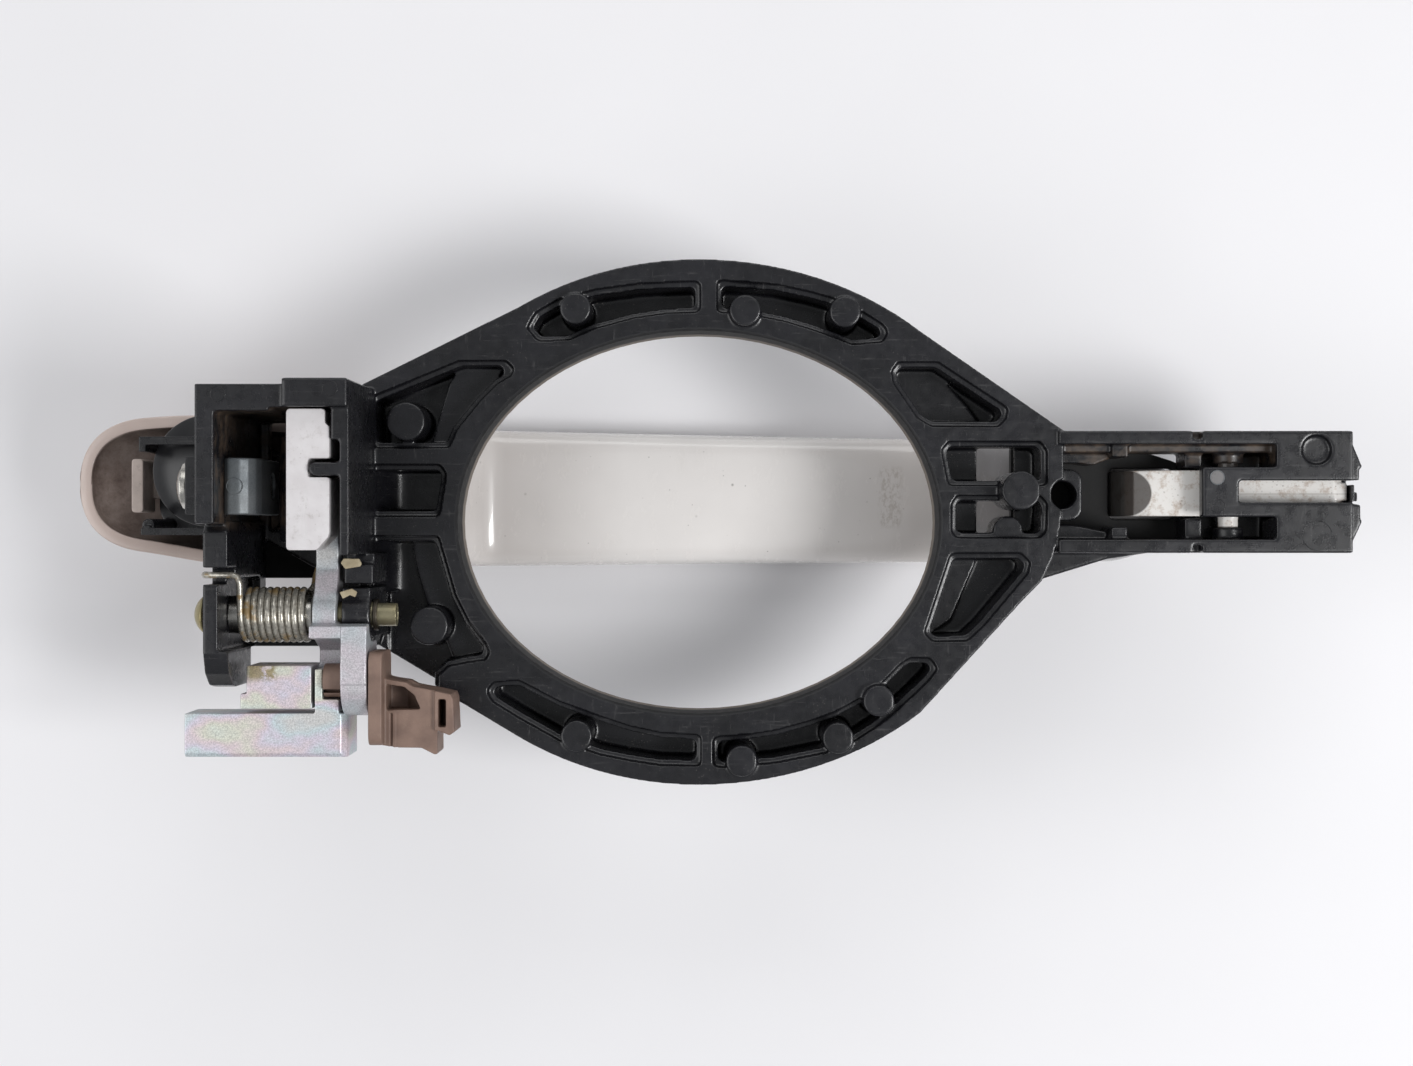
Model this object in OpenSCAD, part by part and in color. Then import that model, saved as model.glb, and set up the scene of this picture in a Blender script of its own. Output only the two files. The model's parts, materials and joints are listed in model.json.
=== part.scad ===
// Outside door handle of a car, with its mounting frame, end cover and lever mechanism.
// The handle lies on its painted face: +X runs to the front pivot, +Z points into the door.
// The origin is under the middle of the whole handle, on the surface that it lies on.

/* [Frame] */
// Half length of the hand opening along X
hole_a = 48.2; // [47:0.1:49]
// Half width of the hand opening along Y
hole_b = 38.3; // [37:0.1:39]
// Place of the hand opening's middle along X
hole_x = -2.4; // [-3:0.1:-2]
// Half width of the frame across the hand opening
rim_b = 52.6; // [52:0.1:54]
// Height of the frame's outer face above the surface
skin_z = 34; // [33.5:0.1:34.5]
// Height of the ring's back face
ring_z = 48; // [47:0.5:49]
// Thickness of the pocket floors
floor_t = 2; // [1.5:0.1:2.5]
// Height of the contact pads on the frame's outer face
pad_t = 0.8; // [0.5:0.1:1]
// Thickness of the frame's front rails
rail_t = 2.8; // [2.4:0.1:3]

/* [Mechanism] */
// Height of the mechanism box
box_z = 78; // [76:0.5:79]
// Place of the crank shaft along Y
shaft_y = -18.1; // [-18.5:0.1:-17.8]
// Height of the crank shaft
shaft_z = 58; // [57.5:0.1:58.5]
// Radius of the crank shaft
shaft_r = 2.5; // [2.3:0.1:2.7]
// Diameter of the torsion spring's wire
wire_d = 1.2; // [1:0.05:1.22]
// Outer diameter of the torsion spring
coil_d = 10.9; // [10.6:0.1:11]
// Number of turns in the torsion spring
coil_turns = 9.75; // [7.75:1:9.75]
// Running clearance around pins and shafts
run_fit = 0.06; // [0.03:0.01:0.1]

/* [Front pivot] */
// Place of the pivot along X
pivot_x = 105; // [104.5:0.1:105.5]
// Height of the pivot
pivot_z = 41.5; // [41:0.1:42]
// Radius of the two trunnions
trunnion_r = 2; // [1.8:0.1:2.2]
// Radius of the screw hole beside the pull arm
screw_hole_r = 2.8; // [2.5:0.1:3]

/* [Grip] */
// Middle of the grip along Y
grip_y = 5.1; // [4.8:0.1:5.4]
// Half width of the grip at the origin
grip_hw = 14.1; // [13.5:0.1:14.5]
// Radius of the long curve along the grip's outer face
crown_r = 351; // [340:1:370]
// Depth of the flat that the grip's crown is cut back by
crown_flat = 1; // [0.8:0.1:1.2]
// Height of the grip's inner face at the middle
grip_t = 13; // [12:0.5:14]
// Wall of the grip's two shells
shell_t = 2.2; // [1.8:0.1:2.6]
// Wall of the end cover
cover_t = 2.6; // [1.8:0.1:2.8]

/* [Hidden] */
$fn = 48;
eps = 0.01;

half_l = 131;              // half of the whole length
floor_z = skin_z + floor_t;
rim_a_front = 64.5;        // half length of the rim's oval towards the front
rim_a_rear = 62.5;         // half length of the rim's oval towards the rear
rail_z = 49;               // top of the front rails
rail_out = [-6.2, 18.2];   // outer faces of the two rails
arm_y = [1.2, 10.5];       // side faces of the pull arm
slab_z = 46.2;             // underside of the slab over the pull arm
box_x = [-96.1, -67.4];    // mechanism box along X
box_y = [-6.3, 25.6];      // mechanism box along Y
screw_y = 7;               // end cover screw
screw_z = 55;
screw_x = 71.2;            // screw hole beside the pull arm
screw_y_front = 5.5;
eye_y = -30.8;             // eye for the rod clip
eye_z = 60;
eye_r = 3.36;
weight_z = [50, 62];       // bottom and top of the counterweight
grip_end = [-75.6, 97];    // ends of the grip
foot_z = 30.8;             // top of the grip's two feet
seam_h = 6;                // height of the grip's seam above its outer face
cover_rim_z = 31.2;        // rim of the end cover
nose_turn = 78;            // degrees of the rounded ends that are lofted
skin_seg = 18;             // segments around half a section

// ---------- simple solids ----------

module block(x, y, z) translate([x[0], y[0], z[0]]) cube([x[1] - x[0], y[1] - y[0], z[1] - z[0]]);

module rod_x(x0, x1, y, z, r) translate([x0, y, z]) rotate([0, 90, 0]) cylinder(r = r, h = x1 - x0);

module rod_y(y0, y1, x, z, r) translate([x, y1, z]) rotate([90, 0, 0]) cylinder(r = r, h = y1 - y0);

module rod_z(z0, z1, x, y, r) translate([x, y, z0]) cylinder(r = r, h = z1 - z0);

// Outline in the YZ plane, extruded along X
module slab_x(x0, x1) translate([x0, 0, 0]) rotate([90, 0, 90]) linear_extrude(x1 - x0) children();

// Outline in the XZ plane, extruded along Y
module slab_y(y0, y1) translate([0, y1, 0]) rotate([90, 0, 0]) linear_extrude(y1 - y0) children();

module slab_z(z0, z1) translate([0, 0, z0]) linear_extrude(z1 - z0) children();

// Rounds the outline's outward corners
module rounded(r) offset(r = r, $fn = 24) offset(delta = -r) children();

module rect(x, y) translate([x[0], y[0]]) square([x[1] - x[0], y[1] - y[0]]);

// ---------- ring ----------

function oval(a, b, t) = [hole_x + a * cos(t), b * sin(t)];
function oval_arc(a, b, t0, t1, n) = [for (i = [0:n]) oval(a, b, t0 + (t1 - t0) * i / n)];

rim_turn = 46.5;    // where the front straights leave the oval
rear_turn = 125;    // where the rear straights leave the oval
outline = concat(
    [[70.7, 18.3]],
    oval_arc(rim_a_front, rim_b, rim_turn, 90, 14),
    oval_arc(rim_a_rear, rim_b, 93, rear_turn, 10),
    [[-70, 27.4], [-70, -24.1]],
    oval_arc(rim_a_rear, rim_b, -rear_turn, -93, 10),
    oval_arc(rim_a_front, rim_b, -90, -rim_turn, 14),
    [[62, -16.2], [66.3, -11.8], [68.6, -7], [70, -1], [70.7, 5]]);

upper_rear_arc = [[-36.9, 38.8], [-35, 42], [-30.5, 44.6], [-23, 46.6], [-14, 47.8], [-2, 48.3], [-2, 42],
    [-9, 41.7], [-15.3, 40.8], [-23.4, 38.6], [-28.2, 36.4], [-34.5, 36.2]];
upper_front_arc = [[1.2, 48.5], [13.1, 47.6], [19.7, 46.2], [25.5, 44.6], [30.3, 42.2], [34.4, 39.7],
    [35.6, 38], [34.6, 36], [28.3, 35.5], [24.8, 36.9], [19.7, 38.7], [14.6, 40.2], [10.1, 41.1], [1.2, 42]];
lower_rear_arc = [[-44.9, -33.8], [-43.5, -32], [-38.4, -31.6], [-30, -35.9], [-22.1, -38.8], [-16, -40.8],
    [-9.9, -42.1], [-1.8, -42.6], [-1.8, -48.9], [-9.9, -48.7], [-16, -47.8], [-22, -46.6], [-30, -43.9],
    [-38.4, -39.2], [-43.6, -36]];
lower_front_arc = [[0.5, -43], [8, -42.4], [13.1, -41.6], [19.7, -39.8], [24.8, -38], [30.3, -35],
    [34.4, -32], [37.9, -28.4], [40, -27.1], [44, -27.2], [45.6, -29.4], [43.5, -32], [40, -35.3],
    [36.4, -38.6], [32.9, -41.3], [28.8, -43.9], [23.2, -46.2], [13.1, -48.2], [2.5, -49.2], [0.5, -48.8]];
rear_pocket = [[-68.1, 25], [-50.3, 32.3], [-41, 32.4], [-39.2, 30.8], [-39.8, 29.3], [-42.5, 27.7],
    [-46.3, 23.9], [-50.6, 18.6], [-52.3, 14.8], [-68.1, 14.8]];
middle_pocket = [[-68.7, 1.1], [-54.2, 1.1], [-52.8, 9.6], [-54, 11.5], [-68.7, 11.5]];
lower_pocket = [[-68.4, -2.7], [-54.4, -2.7], [-53.3, -6.5], [-51, -14.5], [-48.2, -20], [-44.9, -24.3],
    [-44.2, -26.1], [-44.9, -27.6], [-48.6, -28.1], [-52.4, -28.9], [-54.2, -30.5], [-54.4, -35], [-60, -35],
    [-70, -28], [-68.4, -22.6]];
side_pocket = [[48, -6.3], [62.2, -6.2], [64.1, -8], [63.6, -10.3], [54.6, -21], [51.5, -23.8], [44.6, -24],
    [42.7, -22.2], [43.4, -20.2]];
corner_pocket = [[36.2, 30.3], [37.6, 32.1], [45.5, 32.1], [59.6, 22.8], [59.2, 20.6], [57.6, 19], [44, 19.2],
    [41.4, 20.8], [36.6, 27.8]];
upper_window = [[46.2, 14.4], [47.6, 16.2], [66, 16.2], [67.4, 14.2], [67.4, 7.2], [47.6, 7.2]];
lower_window = [[48.2, 3.6], [49.3, 5.4], [66, 5.4], [67.5, 3.6], [67.2, -2], [65.8, -3.3], [49.3, -3.2],
    [48.2, -2]];
all_pockets = [upper_rear_arc, upper_front_arc, lower_rear_arc, lower_front_arc, rear_pocket, middle_pocket,
    lower_pocket, side_pocket, corner_pocket, upper_window, lower_window];

// The pockets' outlines, made smaller by shrink
module pockets(shrink = 0) for (p = all_pockets) rounded(1.1) offset(delta = -shrink) polygon(p);

module windows() {
    rect([54.7, 62.4], [7.9, 15.4]);
    rect([54.7, 62.4], [-2.7, 4.7]);
}

step_z = ring_z - 1.5;     // the pockets are a little narrower below this height
step_in = 1.1;

module ring_plan(shrink) difference() {
    polygon(outline);
    polygon(oval_arc(hole_a, hole_b, 0, 355, 71));
    pockets(shrink);
}

// Large fillet between the mechanism box and the floor of a pocket
module box_fillet(y) slab_y(y[0], y[1]) polygon(concat([[-67.6, floor_z - 1]],
    [for (a = [0:10:90]) [-67.6 + 5 * (1 - sin(a)), floor_z + 10 * (1 - cos(a))]]));

module ring() {
    difference() {
        union() {
            slab_z(floor_z - eps, step_z) ring_plan(step_in);
            slab_z(step_z - eps, ring_z) ring_plan(0);
        }
        rod_z(skin_z, ring_z + 1, screw_x, screw_y_front, 3.1);
    }
    slab_z(skin_z, floor_z) difference() {
        polygon(outline);
        polygon(oval_arc(hole_a, hole_b, 0, 355, 71));
        windows();
    }
    // raised floors beside the ring wall
    slab_z(floor_z - eps, 42) polygon([[-53, 28], [-50, 33], [-41, 33], [-44, 27], [-50, 20], [-52, 14],
        [-57, 14], [-55.5, 19.5]]);
    slab_z(floor_z - eps, 41) polygon([[-60.7, -2], [-54, -2], [-53, -5.6], [-50.6, -14.5], [-48, -20],
        [-45, -27.5], [-52.4, -27.5], [-54.5, -22], [-57.5, -16.8], [-59.4, -10.7], [-60.5, -5.6]]);
    slab_z(floor_z - eps, 39) polygon([[46, -6], [55, -6], [49, -20], [43, -24]]);
    slab_z(floor_z - eps, 39.5) polygon([[36, 30], [38, 33], [46, 31], [52, 24], [56, 19], [43, 19]]);
    box_fillet([1, 11.5]);
    box_fillet([-14, -2.5]);
}

post_r = 3.1;
posts = [[-26.9, 42.5], [6.9, 42.1], [26.8, 41.8], [-26.7, -42.6], [6.2, -47.6], [25.4, -43], [33.5, -35.6]];
tall_posts = [[-60.6, 20, 50.5], [-56, -20.7, 50.5], [61.3, 6.2, 54]];

module locating_posts() {
    for (p = posts) rod_z(floor_z - eps, 50.5, p[0], p[1], post_r);
    for (p = tall_posts) rod_z(floor_z - eps, p[2], p[0], p[1], 3.8);
    rod_z(floor_z - eps, 46.5, 59.7, -1.8, 3);
}

// Contact pads on the outer face, around the hand opening
pad_turns = [55, 125, -55, -125];

module skin_pads() for (t = pad_turns)
    translate([0, 0, skin_z - pad_t]) translate(oval(hole_a + 7, hole_b + 7, t))
        cylinder(r = 4.5, h = pad_t + eps);

// ---------- front rails ----------

module rails() {
    block([69.6, 113 + eps], [rail_out[1] - rail_t + 0.2, rail_out[1]], [skin_z, rail_z]);
    block([70, 113 + eps], [rail_out[1] - rail_t - 1.4, rail_out[1] - 1], [skin_z, rail_z - 3.5]);
    block([66, 113 + eps], [rail_out[0], rail_out[0] + rail_t - 0.1], [skin_z, ring_z - 1]);
    block([69.6, 113 + eps], [rail_out[0], rail_out[0] + rail_t - 0.1], [ring_z - 2, rail_z]);
    block([80.6, 83.8], [13, 15.5], [skin_z, 46.5]);
    block([80.6, 83.8], [-3.6, -1], [skin_z, 46]);
    slab_z(skin_z, 42) polygon([[70, 15], [80.8, 15], [80.8, 12.8], [77.5, 11.5], [74, 12], [70, 12]]);
    slab_z(skin_z, 41) polygon([[70, -4], [80.8, -4], [80.8, -2], [76, -1], [73, -0.5], [70, -0.5]]);
    block([96, 99.4], [10.9, 15.5], [skin_z, 43]);
    block([96, 99.4], [-3.6, 0.8], [skin_z, 43]);
    block([97.2, 113 + eps], [-3.6, 15.5], [skin_z, 36]);
    rod_y(11.8, 15.6, pivot_x, pivot_z, 3);
    rod_y(-3.6, -1.1, pivot_x, pivot_z, 3);
    slab_z(skin_z, 41) polygon([[66, -12], [80.6, -7.5], [90, -6.1], [66, -6.1]]);
    difference() {
        union() {
            block([113, 128.2], rail_out, [skin_z, rail_z]);
            block([98.1, 113 + eps], [1, 11], [slab_z, rail_z]);
        }
        block([112, 132], [0.7, 11.1], [skin_z + 3, slab_z]);
        block([105.5, 132], [3.9, 8.3], [skin_z + 3, rail_z + 1]);
        rod_z(rail_z - 1.2, rail_z + 1, 121, 14.4, 2.95);
        slab_y(0, 12) polygon([[98, 48.2], [98.9, rail_z + 1], [98, rail_z + 1]]);
    }
    // broken tips at the very end
    slab_z(skin_z, 46) polygon([[128, rail_out[1]], [half_l, 11], [130.4, 10.7], [130.4, 8.4], [128, 8.4]]);
    slab_z(skin_z, 46) polygon([[128, 3.8], [130.6, 3.5], [130.6, 0.4], [half_l, 0.2], [128, rail_out[0]]]);
    block([128 - eps, 130.4], [0, 12], [skin_z, skin_z + 3]);
    block([129, 129.7], [4.2, 7.5], [skin_z + 2, 45]);
    block([129.6, 130.6], [4.2, 6], [skin_z + 2, 44]);
}

module screw_boss() slab_z(skin_z, 43) rounded(2.5) rect([66.5, 75.2], [0.3, 10.7]);

// ---------- mechanism box and bearings ----------

floor_rear = [[-66, 27], [-70, 27.4], [box_x[0], box_y[1]], [box_x[0], -2], [-94.2, -2], [-81.9, -9],
    [-77.6, -11], [-77.6, -23], [-70, -24.1], [-66, -26.4]];

module mechanism_box() {
    slab_z(skin_z, floor_z + 0.5) polygon(floor_rear);
    block([box_x[0], -92.5], [-0.5, box_y[1]], [skin_z, box_z]);
    block([-97.2, -93.5], [0, 14], [47, 64]);
    block([box_x[0], -82.5], [20.6, box_y[1]], [skin_z, box_z]);
    block([-82.5 - eps, box_x[1]], [21.3, box_y[1]], [skin_z, box_z]);
    block([-79.5, box_x[1]], [21.3, 26.6], [skin_z, 80]);
    block([-70.75, box_x[1]], [15.2, 21], [skin_z, box_z]);
    block([-69.1, box_x[1]], [box_y[0], 15.3], [skin_z, box_z]);
    slab_z(floor_z, box_z) rounded(1.2) rect([-74.8, -67.8], [8.5, 11]);
}

bracket = [[0, skin_z], [0, 68], [-2, 70], [-25, 70], [-29, 68.4], [-31.4, 65], [-32, 61], [-32, 48.5],
    [-25, 48.5], [-25, skin_z]];

module bearings() {
    difference() {
        slab_x(-96.4, -91.7) polygon(bracket);
        block([-93.6, -91], [-24.7, -11], [floor_z + 4, 72]);
        block([-98, -91], [-12, -8.8], [62.3, 72]);
    }
    slab_x(-71.4, -66) union() {
        translate([shaft_y, shaft_z]) circle(r = 4.4);
        rect([shaft_y - 4.4, shaft_y + 4.4], [floor_z, shaft_z]);
        rect([shaft_y, shaft_y + 5.2], [floor_z, 61]);
    }
    block([-71.2, -65.6], [-12, box_y[0] + 0.1], [floor_z, 58]);
    block([-71.2, -65.6], [-12, -8.3], [floor_z, 60]);
    block([-96.4, -68], [-25, -23.6], [skin_z, 45]);
}

// Opening that the grip's leg passes through
module leg_slot() {
    block([-90.5, -69.5], [-1.5, 20.4], [skin_z - 1, floor_z + 1]);
    block([-85.6, -76.2], [-4.5, 0], [skin_z - 1, floor_z + 1]);
}

module base_frame() color([0.18, 0.18, 0.2]) difference() {
    union() {
        ring();
        locating_posts();
        skin_pads();
        rails();
        screw_boss();
        mechanism_box();
        bearings();
    }
    rod_z(skin_z - 1, 44, screw_x, screw_y_front, screw_hole_r);
    rod_x(-98, -64, shaft_y, shaft_z, shaft_r + 0.02);
    rod_x(-98, -91, screw_y, screw_z, 2.6);
    rod_y(-7, 19, pivot_x, pivot_z, trunnion_r + run_fit);
    for (y = [rail_out[0] - 1, rail_out[1] - 1.7])
        block([96.3, 98.2], [y, y + 2.7], [rail_z - 3, rail_z + 1]);
    leg_slot();
}

// ---------- gaskets on the skin side ----------

gasket_nose = [[62, -5], [91, -5], [95, -4.2], [99, -2.4], [101, 0.5], [101.4, 8], [99.4, 11], [95, 12.8],
    [90.3, 14.3], [85, 16], [80, 17.2], [62, 17.2]];

module front_gasket() color([0.1, 0.1, 0.11]) difference() {
    slab_z(31.2, skin_z) rounded(2) polygon(gasket_nose);
    slab_z(30, skin_z + 1) rounded(1.5) rect([82, 96], [0.6, 11.1]);
}

module rear_gasket() color([0.1, 0.1, 0.11]) difference() {
    slab_z(32, skin_z) rounded(5) rect([-96.9, -62], [-11.5, 21.9]);
    slab_z(31, skin_z + 1) rounded(2) rect([-94.9, -66], [-2.6, 20.9]);
}

// ---------- painted skin of the grip and the end cover ----------

function smooth(t) = t <= 0 ? 0 : t >= 1 ? 1 : t * t * (3 - 2 * t);
function nose(d, p) = d <= 0 ? 1 : pow(max(0, 1 - pow(d, p)), 1 / p);

nose_in = [-117.5, 84];   // where the rounded ends of the cover and the grip begin
function nose_len(k) = abs([-half_l, grip_end[1]][k] - nose_in[k]) / sin(nose_turn);
function ends(x) = nose((nose_in[0] - x) / nose_len(0), 2.4) * nose((x - nose_in[1]) / nose_len(1), 2);
function nose_x(k, n) = [for (i = [0:n]) nose_in[k] + (k * 2 - 1) * nose_len(k) * sin(nose_turn * i / n)];

function mid_y(x) = grip_y - 0.006 * x + 2 * smooth((-84 - x) / 36);
function half_w(x) = (grip_hw - 0.0145 * x - 3 * smooth((-98 - x) / 34)) * ends(x);
function crown(x) = x * x / (2 * crown_r) - crown_flat;
function inner_face(x) = grip_t + (foot_z - grip_t) * (smooth((-46 - x) / 17) + smooth((x - 50) / 22));
function outer_face(x) = foot_z - (foot_z - crown(x)) * ends(x);
function cover_face(x) = cover_rim_z - (cover_rim_z - crown(x)) * ends(x);
function seam(x) = outer_face(x) + min(seam_h, 0.45 * (inner_face(x) - outer_face(x)));
function squared(v, p) = sign(v) * pow(abs(v), p);

// Half a rounded section at x, from height z0 at the sides to z1 at the middle
function half_section(x, w, z0, z1, p) = [for (i = [0:skin_seg])
    [x, mid_y(x) + w * squared(cos(180 * i / skin_seg), p),
        max(0, z0 + (z1 - z0) * squared(sin(180 * i / skin_seg), p))]];

// Closed solid through a list of sections that have the same number of points
module loft(sections, flip = false) {
    n = len(sections[0]);
    m = len(sections);
    sides = [for (j = [0:m - 2], i = [0:n - 1])
        let (a = j * n + i, b = j * n + (i + 1) % n)
        each [[a, b, b + n], [a, b + n, a + n]]];
    caps = [[for (i = [0:n - 1]) n - 1 - i], [for (i = [0:n - 1]) (m - 1) * n + i]];
    faces = concat(sides, caps);
    polyhedron(
        points = [for (s = sections, p = s) p],
        faces = flip ? [for (f = faces) [for (i = [len(f) - 1:-1:0]) f[i]]] : faces);
}

grip_x = concat([grip_end[0]], [for (x = [-74:4:-46]) x], [for (x = [-36:12:48]) x],
    [for (x = [52:4:80]) x], nose_x(1, 9));
cover_x = concat([-76.1], [for (x = [-82:-8:-114]) x], nose_x(0, 9));
cavity_x = concat([for (x = [-66:4:-46]) x], [for (x = [-34:16:46]) x], [for (x = [52:5:82]) x]);

module grip_cavity() loft([for (x = cavity_x) concat(
    half_section(x, half_w(x) - shell_t, seam(x), outer_face(x) + shell_t, 0.8),
    [for (i = [1:skin_seg - 1])
        half_section(x, half_w(x) - shell_t, seam(x), inner_face(x) - shell_t, 0.6)[skin_seg - i]])]);

module grip_outer_shell() color([0.88, 0.87, 0.85]) difference() {
    loft([for (x = grip_x) half_section(x, half_w(x), seam(x), outer_face(x), 0.75)]);
    grip_cavity();
}

module grip_inner_shell() color([0.89, 0.88, 0.87]) difference() {
    loft([for (x = grip_x) half_section(x, half_w(x), seam(x), inner_face(x), 0.55)], flip = true);
    grip_cavity();
}

module end_cover() color([0.8, 0.74, 0.71]) {
    difference() {
        loft([for (i = [0:len(cover_x) - 1]) let (x = cover_x[i])
            half_section(x, half_w(x), cover_rim_z, cover_face(x), 0.7)], flip = true);
        loft([for (x = [-78.4, -90, -102, -112, -118, -122, -125, -127.4])
            half_section(x, half_w(x) - cover_t, cover_rim_z + 0.5, cover_face(x) + cover_t, 0.7)],
            flip = true);
    }
    block([-112, -92], [-3, 0], [19.5, 24]);
    block([-112, -92], [13, 16], [19.5, 24]);
}

// ---------- fixed parts at the rear ----------

blank_x = -102.2;
blank_y = 10.5;
blank_r = 11.4;

module cover_carrier() color([0.15, 0.15, 0.16]) {
    slab_z(24, 27) rounded(6) rect([-115.5, -89], [-2.6, 16.4]);
    difference() {
        rod_z(27 - eps, 35.9, blank_x, blank_y, 8.3);
        rod_z(27, 37, blank_x, blank_y, 6.4);
        block([-99.6, -88], [-2, 23], [26, 37]);
    }
    difference() {
        block([-102.2, -97.4], [1.4, 12.6], [27 - eps, 60]);
        rod_x(-103, -97, screw_y, screw_z, 2.6);
    }
    block([-115, -113.6], [14.2, 17.2], [26, 45.4]);
    rod_z(26, 44.6, -113.3, -0.6, 1.3);
    block([-115, -98.6], [15.6, 17.2], [43.6, 45.4]);
    block([-114.6, -98.6], [-2.6, -1.2], [43.6, 45.4]);
    block([-113.9, -112.7], [-1.9, -0.7], [43.6, 45.4]);
    block([-100, -98.6], [-2.6, 17.2], [43.6, 45.4]);
}

module cover_clip() color([0.85, 0.84, 0.82]) {
    slab_z(27.1, 37) rounded(0.7) rect([-118.7, -116.3], [2, 13]);
    block([-116.4, -113.5], [5, 10], [27.1, 28.8]);
}

module lock_blank() color([0.09, 0.09, 0.1]) intersection() {
    union() {
        rod_z(36, 40, blank_x, blank_y, blank_r);
        translate([blank_x, blank_y, 40 - eps]) rotate_extrude() intersection() {
            translate([0, -14]) circle(r = sqrt(pow(blank_r, 2) + pow(14, 2)), $fn = 96);
            square([blank_r, 10]);
        }
    }
    block([-114, -102.6], [-2, 23], [35, 50]);
}

module cover_screw() color([0.62, 0.6, 0.55]) {
    difference() {
        union() {
            rod_x(-103.4, -102.3, screw_y, screw_z, 4.6);
            translate([-103.4 + eps, screw_y, screw_z]) rotate([0, -90, 0]) rotate_extrude() intersection() {
                translate([0, -6.3]) circle(r = 7.8, $fn = 96);
                square([4.6, 2]);
            }
        }
        for (a = [0, 90]) translate([-105.4, screw_y, screw_z]) rotate([a, 0, 0])
            cube([3, 4.4, 1], center = true);
    }
    rod_x(-102.3 - eps, -86.5, screw_y, screw_z, 2.5);
}

nut_side = [[-92.4, 49], [-92.4, 69.6], [-91.5, 70.5], [-89.4, 70.5], [-87.8, 69.8], [-86.6, 68.3], [-86, 66],
    [-86, 49]];

module clamp_nut() color([0.66, 0.64, 0.62]) difference() {
    slab_y(1.3, 12.1) polygon(nut_side);
    rod_x(-94, -85, screw_y, screw_z, 2.5);
}

module crank_shaft() color([0.6, 0.58, 0.5]) difference() {
    union() {
        rod_x(-99.4, -65.7, shaft_y, shaft_z, shaft_r);
        rod_x(-65.7 - eps, -61.2, shaft_y, shaft_z, 2.25);
        translate([-98.6, shaft_y, shaft_z]) rotate([0, -90, 0]) rotate_extrude() intersection() {
            translate([0, -2.4]) circle(r = 4.5, $fn = 96);
            square([3.6, 2.2]);
        }
    }
    rod_x(-64, -61, shaft_y, shaft_z, 1.5);
}

module shaft_washer() color([0.25, 0.24, 0.22]) difference() {
    rod_x(-65.6, -64.8, shaft_y, shaft_z, 3.1);
    rod_x(-66, -64, shaft_y, shaft_z, 2.25);
}

module spring_bush() color([0.5, 0.49, 0.46]) difference() {
    rod_x(-93.5, -77.3, shaft_y, shaft_z, 3.7);
    rod_x(-94, -77, shaft_y, shaft_z, shaft_r);
}

module stop_pad() color([0.72, 0.66, 0.5]) {
    slab_z(60.1, 60.9) polygon([[-71.8, -8], [-70.9, -9.2], [-68, -8.7], [-67.7, -8.2], [-68.2, -7.2],
        [-71.2, -7.1]]);
    slab_z(62.5, 63.2) polygon([[-71.6, -13.6], [-69.2, -12.9], [-68.2, -13.6], [-68.6, -14.6],
        [-69.6, -14.2], [-71, -14.9]]);
}

// ---------- torsion spring ----------

coil_x = [-90.3, -78.2];
coil_r = (coil_d - wire_d) / 2;
turn_seg = 18;
coil_n = floor(coil_turns * turn_seg);

function coil_at(i) = let (a = 360 * coil_turns * i / coil_n)
    [coil_x[0] + (coil_x[1] - coil_x[0]) * i / coil_n, shaft_y - coil_r * sin(a), shaft_z + coil_r * cos(a)];

// The rear end hooks over the bracket, and the front end lies under the crank's arm
spring_route = concat(
    [[-97.6, -10.3, 61.5], [-97.6, -10.3, 62.9], [-97.2, -10.3, 63.4], [-91.8, -10.3, 63.5],
        [-90.9, -10.7, 63.3], [-90.5, -12, 63]],
    [for (i = [0:coil_n]) coil_at(i)],
    [[-78.1, shaft_y + coil_r + 0.1, 56.4], [-78.1, -12.6, 54], [-78, -11, 53.2], [-77.6, -9.4, 53],
        [-76.6, -8.9, 53], [-73, -8.9, 53]]);

function unit(v) = v / norm(v);

// Tube along a route, with its rings square to the route
module tube(route, r, sides) {
    m = len(route);
    loft([for (j = [0:m - 1])
        let (d = unit(route[min(j + 1, m - 1)] - route[max(j - 1, 0)]),
            far = abs(d[0]) > 0.8 ? [0, 0.3, 1] : [1, 0, 0],
            u = unit(cross(d, far)),
            v = cross(d, u))
        [for (i = [0:sides - 1]) route[j] + r * (u * cos(360 * i / sides) + v * sin(360 * i / sides))]]);
}

module torsion_spring() color([0.55, 0.52, 0.42]) tube(spring_route, wire_d / 2, 8);

// ---------- parts that move with the grip ----------

leg_x = [-75.2, -71.4];
leg_y = [12.6, 19.6];

module grip_leg() color([0.2, 0.2, 0.22]) {
    block(leg_x, leg_y, [foot_z, 70]);
    slab_y(leg_y[0], leg_y[1]) polygon([[leg_x[1] - eps, foot_z], [-67.6, foot_z], [-69.5, 31.8],
        [leg_x[1] - eps, 38]]);
    block([-73.6, -66], [4, 18], [foot_z, foot_z + 1]);
    block([-80, leg_x[1]], leg_y, [55, 61.9]);
    intersection() {
        rod_y(-4, 16.6, -79.3, 56.5, 5);
        block([-85, -77], [-5, 18], [50, 61.4]);
    }
}

shoe = [[-79.2, -5.4], [-73.5, -5.4], [-71.3, -2.9], [-71.1, -2], [-71.1, 8.2], [-75.1, 8.2], [-75.1, 11.7],
    [-71.1, 11.7], [-71.1, 17.6], [-72, 18.4], [-72, 21], [-79.2, 21]];

module hook_shoe() color([0.91, 0.9, 0.91]) difference() {
    slab_z(62, 77) rounded(0.5) polygon(shoe);
    block(leg_x, leg_y, [61, 70]);
    slab_x(-80, -70) polygon([[-7, 61], [4, 61], [4, 62], [-5.4, 68.5], [-7, 68.5]]);
    block([-75.9, -75.5], [-4, 6.5], [76.4, 78]);
}

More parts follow.
